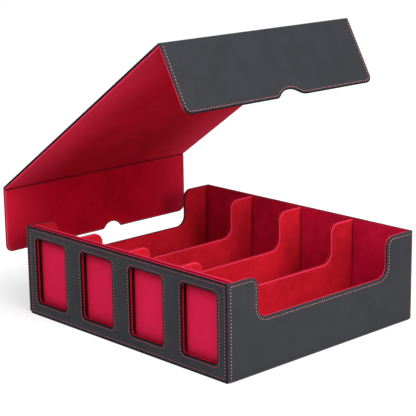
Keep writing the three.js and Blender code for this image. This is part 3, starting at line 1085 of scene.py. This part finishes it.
def make_felt(sizes, place, low, high):
    """Felt behind the windows, in a grid that is fine where the light fades out behind the frame."""
    across, up = felt_lines(sizes)
    work = Plate("slot_felt", place)
    for height in (low, high):
        for v in up:
            for u in across:
                work.vertices.append((u, v, height))
                work.rims.append(0.0)
                work.dims.append(1.0 - felt_light(sizes, u, v))
    width, rows = len(across), len(up)
    behind = width * rows
    for v in range(rows - 1):
        for u in range(width - 1):
            near = v * width + u
            front = (near, near + 1, near + width + 1, near + width)
            work.faces += [front, tuple(behind + index for index in front)]
    loop = list(range(width)) + [row * width + width - 1 for row in range(1, rows)]
    loop += [(rows - 1) * width + u for u in range(width - 2, -1, -1)]
    loop += [row * width for row in range(rows - 2, 0, -1)]
    for near, far in zip(loop, loop[1:] + loop[:1]):
        work.faces.append((near, far, behind + far, behind + near))
    work.smooth = [False] * len(work.faces)
    return work.build("display_felt")


def make_backer(sizes):
    """Backing of the card slots: felt in front, and the lining of the rows behind."""
    middle = BACKER_FRONT + FELT_DEPTH
    felt = make_felt(sizes, facing_front(middle), sizes.seam, FELT_DEPTH)
    settle(felt, "tray", "lining", "display_felt")
    edge = rectangle(-INNER_SIDE, INNER_SIDE, STAND_BASE, TOP)
    rings = suede_rim(0.0, BACKER_REAR - middle)
    rear = plate("slot_lining", facing_back(middle), edge, rings, "red_suede")
    settle(rear, "tray", "lining", "slot_backer_board", "slot_backer_lining")


# The rounding of the strips between the slots, and how strong the painted highlight on their edges is
SPACER_BEND = 0.7 * MM
SPACER_HIGHLIGHT = 0.3


def make_spacers():
    """Lined strips that close the sides of the card slots, in near-black suede that paints their shade."""
    middle = (SPACER_LOW.y + SPACER_HIGH.y) / 2
    edge = rectangle(SPACER_LOW.x, SPACER_HIGH.x, SPACER_LOW.z, SPACER_HIGH.z)
    half = (SPACER_HIGH.y - SPACER_LOW.y) / 2
    edge_rings = rounded_rim(-half, half, SPACER_BEND)
    rings = [(inset, height, SPACER_HIGHLIGHT * share, 0.0) for inset, height, share, _ in edge_rings]
    spacers = plate("slot_spacers", facing_front(middle), edge, rings, "slot_suede")
    step = (DIVIDER_PITCH, 0.0, 0.0)
    grown(spacers, row_group(), {"Count": ROWS - 1, "Step": step, "Material": finish("slot_suede")})
    settle(spacers, "tray", "lining", "slot_spacer_1", "slot_spacer_2", "slot_spacer_3")


# How far above the foot, and in front of the rear edge, a side wall's groove ends
GROOVE_FOOT = 4 * MM
GROOVE_REAR = 1 * MM


def upper_edge(u, v):
    """How deep a side wall's groove is: none along its foot and its rear edge."""
    return 0.0 if v < FOOT + GROOVE_FOOT or u > BACK - GROOVE_REAR else 1.0


def make_side_walls(sizes):
    """Side walls: leather outside and lining inside, with the low middle."""
    thickness = SIDE - ROW_SIDE
    split = thickness - sizes.skin
    skin_edge = cut_side(sizes, FRONT, BACK + sizes.rear_bulge, FOOT, TOP, foot=sizes.foot)
    front, back = FRAME_REAR + sizes.seam, ROW_BACK - sizes.seam
    lining_edge = cut_side(sizes, front, back, LINED_BASE, TOP, shoulder=CORNER)
    for name, place in (("left", facing_left(-ROW_SIDE)), ("right", facing_right(ROW_SIDE))):
        rings = leather_rim(split + sizes.seam, thickness, sizes, foot=True)
        # The side walls' full rims take the lighter edge finish: a painted highlight on their upper edges
        looks = {"seal": "side_edge", "dipped": upper_edge}
        skin = plate(f"{name}_skin", place, skin_edge, rings, "dark_leather", **looks)
        settle(skin, "tray", "leather", f"{name}_wall_leather")
        rings = mirrored(suede_rim(0, split, front=0.1, dark=0.2), split)
        shares = {"rimmed": between(front, back), "dimmed": shaded(front, back, TOP)}
        lining = plate(f"{name}_lining", place, lining_edge, rings, "red_suede", **shares)
        settle(lining, "tray", "lining", f"{name}_wall_board", f"{name}_wall_lining")


def mirrored(rings, thickness):
    """The same rings with the plate's two faces changed over."""
    return [(inset, thickness - height, *ring) for inset, height, *ring in reversed(rings)]


# How far the painted shade of the black edge fades out over the back wall's outer face
REAR_SHADE_FADE = 3 * MM


def make_back_wall(sizes):
    """Back wall at its full height."""
    thickness = BACK + sizes.rear_bulge - ROW_BACK
    split = thickness - sizes.back_skin
    place = facing_back(ROW_BACK)
    half = SIDE - sizes.skin - sizes.seam
    skin_edge = rectangle(-half, half, FOOT, TOP)
    rings = rounded_rim(split + sizes.seam, thickness, sizes.rim)
    seal = ((sizes.sealed, 1.0), (sizes.sealed + BLUR, 0.5), (REAR_SHADE_FADE, 0.0))
    rings += [(inset, thickness, share, 0.0) for inset, share in seal]
    skin = plate("back_skin", place, skin_edge, rings, "dark_leather", seal="sealed_edge")
    settle(skin, "tray", "leather", "back_wall_leather")
    lining_edge = rectangle(-half, half, LINED_BASE, TOP)
    rings = mirrored(suede_rim(0, split, back=0.4, front=0.1, dark=0.4), split)
    lining = plate("back_lining", place, lining_edge, rings, "rear_suede")
    settle(lining, "tray", "lining", "back_wall_board", "back_wall_lining")


# The seam between a divider's two skins: how deep and how dark it is
SEAM_DEPTH = 0.25 * MM
SEAM_SHADE = 0.6


def make_dividers(sizes):
    """Dividers: two skins of suede with a seam between them along the top edge."""
    thickness = DIVIDER_HIGH.x - DIVIDER_LOW.x
    drop = TOP - DIVIDER_HIGH.z
    start, end = DIVIDER_LOW.y, DIVIDER_HIGH.y
    edge = cut_side(sizes, start, end, DIVIDER_LOW.z, DIVIDER_HIGH.z, drop, shoulder=CORNER)
    rings = suede_rim(0, thickness, both=True)
    half = len(rings) // 2
    rings[half:half] = [(SEAM_DEPTH, thickness / 2, 0.0, 0.0, SEAM_SHADE)]
    shares = {"rimmed": between(start, end), "dimmed": shaded(start, end, DIVIDER_HIGH.z)}
    dividers = plate("dividers", facing_right(DIVIDER_LOW.x), edge, rings, "red_suede", **shares)
    step = (DIVIDER_PITCH, 0.0, 0.0)
    grown(dividers, row_group(), {"Count": ROWS - 1, "Step": step, "Material": finish("red_suede")})
    nodes = [f"divider_{index + 1}_{layer}" for index in range(ROWS - 1) for layer in ("cover", "board")]
    settle(dividers, "tray", "lining", *nodes)


# The leather under the floor: its rounding, and how black its painted shade is by distance from its edge
BASE_BEND = 0.35 * MM
BASE_SHADE = ((4 * MM, 0.0), (0.7 * MM, 0.1))

# The rounding of the floor's lining
CLOTH_BEND = 0.3 * MM


def make_floor(sizes):
    """Leather under the floor and the lining that the cards stand on."""
    half = SIDE - sizes.skin - sizes.seam
    edge = rectangle(-half, half, FRONT + sizes.front_skin + sizes.seam, BACK - sizes.back_skin - sizes.seam)
    height = SKIN_BASE - sizes.seam
    rings = [(inset, 0.0, share, 0.0) for inset, share in BASE_SHADE]
    rings += rounded_rim(0.0, height, BASE_BEND)
    skin = plate("base_skin", facing_up(0.0), edge, rings, "dark_leather", seal="sealed_edge")
    settle(skin, "tray", "leather", "bottom_leather")
    edge = rectangle(-INNER_SIDE, INNER_SIDE, FRAME_REAR + sizes.seam, ROW_BACK - sizes.seam)
    edge_rings = rounded_rim(FLOOR_LOW, FLOOR_HIGH, CLOTH_BEND)
    rings = [(inset, height, 0.0, 0.0) for inset, height, _, _ in edge_rings]
    lining = plate("floor_cloth", facing_up(0.0), edge, rings, "red_suede")
    settle(lining, "tray", "lining", "floor_lining")


# The lid


def make_panel(sizes):
    """Top panel of the lid: leather and lining from crease to crease."""
    run, out = lid_directions(sizes)["panel"]
    place = lid_place(LEFT_CREASE, run, out)
    span = PANEL_RUN.length
    top = LID_HALF_THICKNESS
    split = top - sizes.lid_skin
    ends = between(0.0, span, CREASE_WIDTH)
    edge = rectangle(CREASE_SPACE, span - CREASE_SPACE, -LID_HALF_DEPTH - sizes.panel_lip, LID_HALF_DEPTH)
    rings = leather_rim(split, top, sizes)
    looks = {"seal": "sealed_edge", "rimmed": ends, "dipped": ends}
    skin = plate("panel_skin", place, edge, rings, "dark_leather", **looks)
    settle(skin, "panel", "leather", "panel_leather")
    start = sizes.crease_gap - sizes.lid_margin
    edge = rectangle(start, span - start, -LID_HALF_DEPTH, LID_HALF_DEPTH, CORNER)
    rings = suede_rim(-split + sizes.seam, top, margin=sizes.lid_margin)
    flip = lid_place(LEFT_CREASE, run, -out)
    lining = plate("panel_cloth", flip, edge, rings, "lid_suede", rimmed=between(start, span - start))
    settle(lining, "panel", "lining", "panel_board", "panel_lining")


# How black a flap's painted edge shade is along its sides
FLAP_SIDE_SHADE = 0.15


def flap_edge_shade(outer):
    """How black a flap's edge is painted as shade: fully round its free end, faintly along its sides, not at the
    crease.
    """
    free = past(CREASE_WIDTH)
    return lambda u, v: 1.0 if u > outer else FLAP_SIDE_SHADE * free(u, v)


def make_flaps(sizes):
    """The two flaps with their thumb notches."""
    top = LID_HALF_THICKNESS
    split = top - sizes.lid_skin
    shares = {"rimmed": flap_edge_shade(LEFT_FLAP_REACH - sizes.flap_radius), "dipped": past(CREASE_WIDTH)}
    start = sizes.crease_gap - sizes.lid_margin
    lined = past(start + HAIR)
    for side, crease in CREASES:
        name = f"{side}_flap"
        run, out = lid_directions(sizes)[name]
        rings = leather_rim(split, top, sizes, sizes.flap_stitch_inset)
        edge = flap_outline(sizes, side, CREASE_SPACE)
        place = lid_place(crease, run, out)
        skin = plate(f"{name}_skin", place, edge, rings, "dark_leather", seal="sealed_edge", **shares)
        settle(skin, name, "leather", f"{name}_leather")
        rings = suede_rim(-split + sizes.seam, top, margin=sizes.lid_margin)
        edge = flap_outline(sizes, side, start, sizes.flap_margin)
        flip = lid_place(crease, run, -out)
        cloth = plate(f"{name}_cloth", flip, edge, rings, "flap_suede", rimmed=lined)
        settle(cloth, name, "lining", f"{name}_board", f"{name}_lining")


# A crease: its steps round and along, and the bevel at its ends
BEAD_TURNS = 20
BEAD_STATIONS = 25
BEAD_BEVEL = 0.4 * MM


def half_bead(name, crease, middle, material):
    """Half of a round crease along Y, with its curved side towards the middle angle."""
    radius, half = LID_HALF_THICKNESS, LID_HALF_DEPTH
    turns = [middle - math.pi / 2 + math.pi * step / BEAD_TURNS for step in range(BEAD_TURNS + 1)]
    section = [crease + Vector((math.cos(turn), 0, math.sin(turn))) * radius for turn in turns]
    bevelled = 1 - BEAD_BEVEL / radius
    straight = 2 * half - 2 * BEAD_BEVEL
    lines = [(-half, bevelled), (-half + BEAD_BEVEL, 1.0)]
    lines += [(-half + BEAD_BEVEL + straight * step / BEAD_STATIONS, 1.0) for step in range(1, BEAD_STATIONS)]
    lines += [(half - BEAD_BEVEL, 1.0), (half, bevelled)]
    vertices, faces, rims = [], [], []
    for along, share in lines:
        for point in section:
            vertices.append(crease + (point - crease) * share + Vector((0, along, 0)))
            # The bead's ends take a full rim share: painted shade on the leather's ends, a painted highlight on
            # the lining's
            rims.append(1.0 if abs(along) == half else 0.0)
    width = len(section)
    for row in range(len(lines) - 1):
        for step in range(width):
            following = (step + 1) % width
            near, far = row * width, (row + 1) * width
            faces.append((near + step, near + following, far + following, far + step))
    faces.append(tuple(range(width)))
    faces.append(tuple(range(len(vertices) - width, len(vertices))))
    mesh = bpy.data.meshes.new(name)
    mesh.from_pydata(vertices, [], faces)
    mesh.polygons.foreach_set("use_smooth", [len(face) == 4 for face in faces])
    mesh.attributes.new("rim", "FLOAT", "POINT").data.foreach_set("value", rims)
    turn_outwards(mesh, BEAD_SHARP)
    mesh.materials.append(finish(material))
    return link(name, mesh)


def make_creases(sizes):
    """The two creases: leather outside and lining inside."""
    ways = lid_directions(sizes)
    for side, crease in CREASES:
        name = f"{side}_crease"
        out = ways[f"{side}_flap"][1] + ways["panel"][1]
        middle = math.atan2(out.z, out.x)
        outer = half_bead(f"{name}_skin", crease, middle, "dark_leather")
        settle(outer, name, "leather", name)
        # The crease's inner half is the dark fold suede: painted shade
        inner = half_bead(f"{name}_cloth", crease, middle + math.pi, "fold_suede")
        settle(inner, name, "lining")


# Stitches

# How far a thread lies off its line, and how far it is turned
STITCH_SHIFT = 0.06 * MM
STITCH_TURN = math.radians(3)

# How high a thread's middle lies over the leather, and by what share of the groove's depth it sinks
THREAD_RISE = 0.1 * MM
THREAD_SINK = 0.6

# How far the front's and the side walls' lowest stitches keep from the leather's lower edge
FRONT_STITCH_FOOT = 0.6 * MM
SIDE_STITCH_FOOT = 1.5 * MM
REAR_STITCH_FOOT = 1 * MM

# Turns of the stitches round the foot of a side wall's rear edge
FOOT_TURNS = [math.radians(angle) for angle in (60, 30, 0)]


def stitch_lines(name, body, lines, sizes, seed, thread="thread"):
    """Threads along several lines, all on one body. A line is its points and whether it is closed."""
    vertices, edges = [], []
    for points, closed in lines:
        first = len(vertices)
        vertices += points
        edges += [(index, index + 1) for index in range(first, len(vertices) - 1)]
        if closed:
            edges.append((len(vertices) - 1, first))
    mesh = bpy.data.meshes.new(name)
    mesh.from_pydata(vertices, edges, [])
    piece = link(name, mesh)
    values = {
        "Pitch": sizes.stitch_pitch,
        "Length": sizes.stitch_length,
        "Radius": sizes.stitch_radius,
        "Shift": STITCH_SHIFT,
        "Turn": STITCH_TURN,
        "Seed": seed,
        "Material": finish(thread),
    }
    grown(piece, stitch_group(), values)
    settle(piece, body, "lining")


def lifted(points, place, height):
    return [place(point.x, point.y, height) for point in points]


def thread_height(sizes):
    """Height of a thread's middle over the face that it is sewn into."""
    return THREAD_RISE - sizes.groove * THREAD_SINK


def sew_front(sizes, seed):
    """Stitches round the front and its windows."""
    half = SIDE - sizes.skin - sizes.seam
    place = facing_front(FRAME_REAR)
    height = FRAME_REAR - FRONT + thread_height(sizes)
    border = rectangle(-half, half, FRONT_FOOT + FRONT_STITCH_FOOT, TOP)
    lines = [(lifted(border.ring(sizes.stitch_inset), place, height), True)]
    for row in range(ROWS):
        around = window(sizes, row_centre(row)).ring(sizes.window_stitch_inset)
        lines.append((lifted(around, place, height), True))
    stitch_lines("front_stitches", "tray", lines, sizes, seed, "front_thread")


def sew_side_wall(sizes, name, place, seed):
    """Stitches along a side wall's upper edge, and up its rear edge from the foot."""
    edge = cut_side(sizes, FRONT, BACK, FOOT, TOP)
    height = SIDE - ROW_SIDE + thread_height(sizes)
    rear = BACK + sizes.rear_bulge - sizes.rear_stitch_inset
    upper = edge.stretch(sizes.stitch_inset, 1, 7)
    upper[0].x = rear
    upper[-1].y = FOOT + SIDE_STITCH_FOOT
    lines = [(lifted(upper, place, height), False)]
    stitch_lines(f"{name}_stitches", "tray", lines, sizes, seed)
    centre = Vector((rear - sizes.foot, FOOT + REAR_STITCH_FOOT + sizes.foot))
    foot = [centre + sizes.foot * Vector((math.cos(turn), -math.sin(turn))) for turn in FOOT_TURNS]
    corner = upper[0] - Vector((0.0, sizes.stitch_pitch))
    lines = [(lifted([*foot, corner], place, height), False)]
    stitch_lines(f"{name}_rear_stitches", "tray", lines, sizes, seed, "front_thread")


def sew_flap(sizes, side, crease, seed):
    """Stitches along a flap's three free edges."""
    inset = sizes.stitch_inset
    run, out = lid_directions(sizes)[f"{side}_flap"]
    edge = flap_outline(sizes, side, 0.0)
    points = [point for point in edge.stretch(sizes.flap_stitch_inset, 1, 7) if point.x > inset]
    points = [Vector((inset, points[0].y)), *points, Vector((inset, points[-1].y))]
    height = LID_HALF_THICKNESS + thread_height(sizes)
    lines = [(lifted(points, lid_place(crease, run, out), height), False)]
    stitch_lines(f"{side}_flap_stitches", f"{side}_flap", lines, sizes, seed, "lid_thread")


def sew_panel(sizes, seed):
    """Stitches along the panel's front and rear edges."""
    inset = sizes.stitch_inset
    run, out = lid_directions(sizes)["panel"]
    place = lid_place(LEFT_CREASE, run, out)
    far, across = PANEL_RUN.length - inset, LID_HALF_DEPTH - inset
    height = LID_HALF_THICKNESS + thread_height(sizes)
    lines = []
    for v in (-across, across):
        ends = [Vector((inset, v)), Vector((far, v))]
        lines.append((lifted(ends, place, height), False))
    stitch_lines("panel_stitches", "panel", lines, sizes, seed, "lid_thread")


def make_stitches(sizes):
    """Stitches round the front and its windows, along the side walls and along the lid's free edges."""
    seeds = iter(range(sizes.seed, sizes.seed + 6))
    sew_front(sizes, next(seeds))
    sew_side_wall(sizes, "left", facing_left(-ROW_SIDE), next(seeds))
    sew_side_wall(sizes, "right", facing_right(ROW_SIDE), next(seeds))
    for side, crease in CREASES:
        sew_flap(sizes, side, crease, next(seeds))
    sew_panel(sizes, next(seeds))


# What the frame's own parts keep


def finish_hidden_parts():
    """Materials for the frame's parts, those that stay as they are and those that other pieces stand for."""
    finishes = {
        "leather": "dark_leather",
        "lining": "red_suede",
        "board": "grey_board",
        "magnet": "plated_steel",
    }
    slots = {part["node"]: part["material_slot"] for part in frame["record"]["subparts"]}
    for name, node in frame["nodes"].items():
        material = finish(finishes[slots[name]])
        node.data.materials.clear()
        node.data.materials.append(material)


# The studio

WHITE = (1.0, 1.0, 1.0, 1.0)

# Where the surround is brightest
BRIGHT_WAY = Vector((0.75, 0.15, 0.65)).normalized()

# How far the floor reaches and how far it lies under the box
GROUND_REACH = 8.0
GROUND_GAP = 0.1 * MM

# The middle of the shadow painted on the floor left of the box, and the distances between which it fades out
SHADED_PLACE = (-0.215, -0.05, 0.0)
SHADED_REACH = (0.05, 0.17)

# Place, aim, width and tint of each light
LIGHTS = {
    "key": ((1.6, -0.35, 1.5), (0.05, 0.0, 0.1), 1.1, (1.0, 0.97, 0.94)),
    "fill": ((0.95, -1.35, 1.6), (0.0, 0.0, 0.08), 1.2, (0.93, 0.96, 1.0)),
    "side": ((1.9, 0.15, 0.8), (-0.1, 0.0, 0.12), 0.8, (1.0, 0.98, 0.96)),
    "top": ((0.2, 0.5, 1.9), (0.0, 0.0, 0.1), 1.4, (1.0, 1.0, 1.0)),
}


def soft_light(name, place, target, size, power, tint):
    light = bpy.data.lights.new(name, "AREA")
    light.shape = "DISK"
    light.size = size
    light.energy = power
    light.color = tint
    holder = bpy.data.objects.new(name, light)
    aim = (Vector(target) - Vector(place)).to_track_quat("-Z", "Y")
    holder.matrix_world = Matrix.Translation(place) @ aim.to_matrix().to_4x4()
    bpy.context.scene.collection.objects.link(holder)


def make_surround(light):
    """A white surround that is brighter on the right."""
    scene = bpy.context.scene
    scene.view_settings.view_transform = "Standard"
    world = bpy.data.worlds.new("surround")
    world.use_nodes = True
    scene.world = world
    tree = world.node_tree
    way = add(tree, "ShaderNodeTexCoord").outputs["Generated"]
    inputs = {0: way, 1: BRIGHT_WAY}
    towards = add(tree, "ShaderNodeVectorMath", inputs, operation="DOT_PRODUCT").outputs["Value"]
    level = spread(tree, towards, low=-0.8, high=1.0, to_low=light.dark_side, to_high=light.bright_side)
    background = tree.nodes["Background"]
    background.inputs["Color"].default_value = WHITE
    tree.links.new(level, background.inputs["Strength"])


def floor_material(light, colours):
    """Pale matt floor whose glow is lower left of the box: a painted shadow."""
    material = bpy.data.materials.new("pale_floor")
    material.use_nodes = True
    tree = material.node_tree
    tree.nodes.clear()
    place = add(tree, "ShaderNodeTexCoord").outputs["Object"]
    dust = noise(tree, place, scale=60.0, detail=3.0)
    pale = shades(tree, dust, colours.floor, darkest=0.99, lightest=1.01)
    inputs = {0: place, 1: SHADED_PLACE}
    away = add(tree, "ShaderNodeVectorMath", inputs, operation="DISTANCE").outputs["Value"]
    near, far = SHADED_REACH
    glow = spread(tree, away, near, far, to_low=light.near_glow, to_high=light.floor_glow)
    inputs = {"Base Color": pale, "Roughness": 0.9, "Emission Strength": glow, "Specular IOR Level": 0.1}
    shader = add(tree, "ShaderNodeBsdfPrincipled", inputs)
    shader.inputs["Emission Color"].default_value = WHITE
    add(tree, "ShaderNodeOutputMaterial", {"Surface": shader.outputs[0]})
    return material


def make_ground(light, colours):
    """The floor that the box stands on."""
    mesh = bpy.data.meshes.new("floor")
    reach, level = GROUND_REACH, FRONT_FOOT - GROUND_GAP
    corners = [(-reach, -reach, level), (reach, -reach, level), (reach, reach, level), (-reach, reach, level)]
    mesh.from_pydata(corners, [], [(0, 1, 2, 3)])
    mesh.materials.append(floor_material(light, colours))
    link("floor", mesh)


def camera_matrix():
    """Where the photograph was taken from, and how the camera was turned."""
    level = math.cos(CAMERA_PITCH)
    ahead = Vector((math.sin(CAMERA_YAW) * level, math.cos(CAMERA_YAW) * level, -math.sin(CAMERA_PITCH)))
    right = Vector((math.cos(CAMERA_YAW), -math.sin(CAMERA_YAW), 0.0))
    up = right.cross(ahead)
    across = right * math.cos(CAMERA_ROLL) + up * math.sin(CAMERA_ROLL)
    upright = up * math.cos(CAMERA_ROLL) - right * math.sin(CAMERA_ROLL)
    turn = Matrix((across, upright, -ahead)).transposed()
    return Matrix.Translation(CAMERA_PLACE) @ turn.to_4x4()


def make_camera():
    """The photograph's camera."""
    scene = bpy.context.scene
    camera = bpy.data.cameras.new("camera")
    camera.lens = CAMERA_LENS
    camera.sensor_width = CAMERA_SENSOR
    camera.clip_end = CAMERA_CLIP
    holder = bpy.data.objects.new("camera", camera)
    scene.collection.objects.link(holder)
    holder.matrix_world = camera_matrix()
    scene.camera = holder


def make_stage(light, colours):
    """Pale floor, soft light and the camera at the photograph's angle."""
    make_surround(light)
    make_ground(light, colours)
    for name, (place, target, size, tint) in LIGHTS.items():
        soft_light(name, place, target, size, getattr(light, name), tint)
    make_camera()


# The add-on


class CARDBOX_OT_front(bpy.types.Operator):
    """Make the front frame with its four windows"""

    bl_idname = "card_box.front"
    bl_label = "Front frame"

    def execute(self, context):
        make_front(context.scene.card_box_sizes)
        return {"FINISHED"}


class CARDBOX_OT_backer(bpy.types.Operator):
    """Make the backing of the card slots"""

    bl_idname = "card_box.backer"
    bl_label = "Slot backing"

    def execute(self, context):
        make_backer(context.scene.card_box_sizes)
        return {"FINISHED"}


class CARDBOX_OT_spacers(bpy.types.Operator):
    """Make the strips between the card slots"""

    bl_idname = "card_box.spacers"
    bl_label = "Slot spacers"

    def execute(self, context):
        make_spacers()
        return {"FINISHED"}


class CARDBOX_OT_side_walls(bpy.types.Operator):
    """Make both side walls"""

    bl_idname = "card_box.side_walls"
    bl_label = "Side walls"

    def execute(self, context):
        make_side_walls(context.scene.card_box_sizes)
        return {"FINISHED"}


class CARDBOX_OT_back_wall(bpy.types.Operator):
    """Make the back wall"""

    bl_idname = "card_box.back_wall"
    bl_label = "Back wall"

    def execute(self, context):
        make_back_wall(context.scene.card_box_sizes)
        return {"FINISHED"}


class CARDBOX_OT_dividers(bpy.types.Operator):
    """Make the three dividers"""

    bl_idname = "card_box.dividers"
    bl_label = "Dividers"

    def execute(self, context):
        make_dividers(context.scene.card_box_sizes)
        return {"FINISHED"}


class CARDBOX_OT_floor(bpy.types.Operator):
    """Make the tray's leather base and its lined floor"""

    bl_idname = "card_box.floor"
    bl_label = "Tray floor"

    def execute(self, context):
        make_floor(context.scene.card_box_sizes)
        return {"FINISHED"}


class CARDBOX_OT_panel(bpy.types.Operator):
    """Make the lid's top panel"""

    bl_idname = "card_box.panel"
    bl_label = "Lid panel"

    def execute(self, context):
        make_panel(context.scene.card_box_sizes)
        return {"FINISHED"}


class CARDBOX_OT_flaps(bpy.types.Operator):
    """Make the lid's two flaps"""

    bl_idname = "card_box.flaps"
    bl_label = "Lid flaps"

    def execute(self, context):
        make_flaps(context.scene.card_box_sizes)
        return {"FINISHED"}


class CARDBOX_OT_creases(bpy.types.Operator):
    """Make the lid's two creases"""

    bl_idname = "card_box.creases"
    bl_label = "Lid creases"

    def execute(self, context):
        make_creases(context.scene.card_box_sizes)
        return {"FINISHED"}


class CARDBOX_OT_stitches(bpy.types.Operator):
    """Sew the stitches of the tray and the lid"""

    bl_idname = "card_box.stitches"
    bl_label = "Stitches"

    def execute(self, context):
        make_stitches(context.scene.card_box_sizes)
        return {"FINISHED"}


class CARDBOX_OT_hidden_parts(bpy.types.Operator):
    """Give the frame's own parts their materials"""

    bl_idname = "card_box.hidden_parts"
    bl_label = "Boards and magnets"

    def execute(self, context):
        finish_hidden_parts()
        return {"FINISHED"}


class CARDBOX_OT_stage(bpy.types.Operator):
    """Set up the floor, the light and the camera"""

    bl_idname = "card_box.stage"
    bl_label = "Studio"

    def execute(self, context):
        make_stage(context.scene.card_box_light, context.scene.card_box_colours)
        return {"FINISHED"}


STEPS = (
    CARDBOX_OT_hidden_parts,
    CARDBOX_OT_front,
    CARDBOX_OT_backer,
    CARDBOX_OT_spacers,
    CARDBOX_OT_side_walls,
    CARDBOX_OT_back_wall,
    CARDBOX_OT_dividers,
    CARDBOX_OT_floor,
    CARDBOX_OT_panel,
    CARDBOX_OT_flaps,
    CARDBOX_OT_creases,
    CARDBOX_OT_stitches,
    CARDBOX_OT_stage,
)
GROUPS = {
    "card_box_sizes": CardBoxSizes,
    "card_box_colours": CardBoxColours,
    "card_box_light": CardBoxLight,
}


class CARDBOX_PT_panel(bpy.types.Panel):
    """The box's sizes, colours, light and steps"""

    bl_idname = "CARDBOX_PT_panel"
    bl_label = "Card box"
    bl_space_type = "VIEW_3D"
    bl_region_type = "UI"
    bl_category = "Card box"

    def draw(self, context):
        for step in STEPS:
            self.layout.operator(step.bl_idname)
        for group in GROUPS:
            values = getattr(context.scene, group)
            box = self.layout.box()
            for key in values.__annotations__:
                box.prop(values, key)


def register():
    for group, kind in GROUPS.items():
        bpy.utils.register_class(kind)
        setattr(bpy.types.Scene, group, PointerProperty(type=kind))
    for kind in (*STEPS, CARDBOX_PT_panel):
        bpy.utils.register_class(kind)


def unregister():
    for kind in reversed((*STEPS, CARDBOX_PT_panel)):
        bpy.utils.unregister_class(kind)
    for group, kind in GROUPS.items():
        delattr(bpy.types.Scene, group)
        bpy.utils.unregister_class(kind)


def main():
    register()
    for step in STEPS:
        family, name = step.bl_idname.split(".")
        getattr(getattr(bpy.ops, family), name)()


if __name__ == "__main__":
    main()
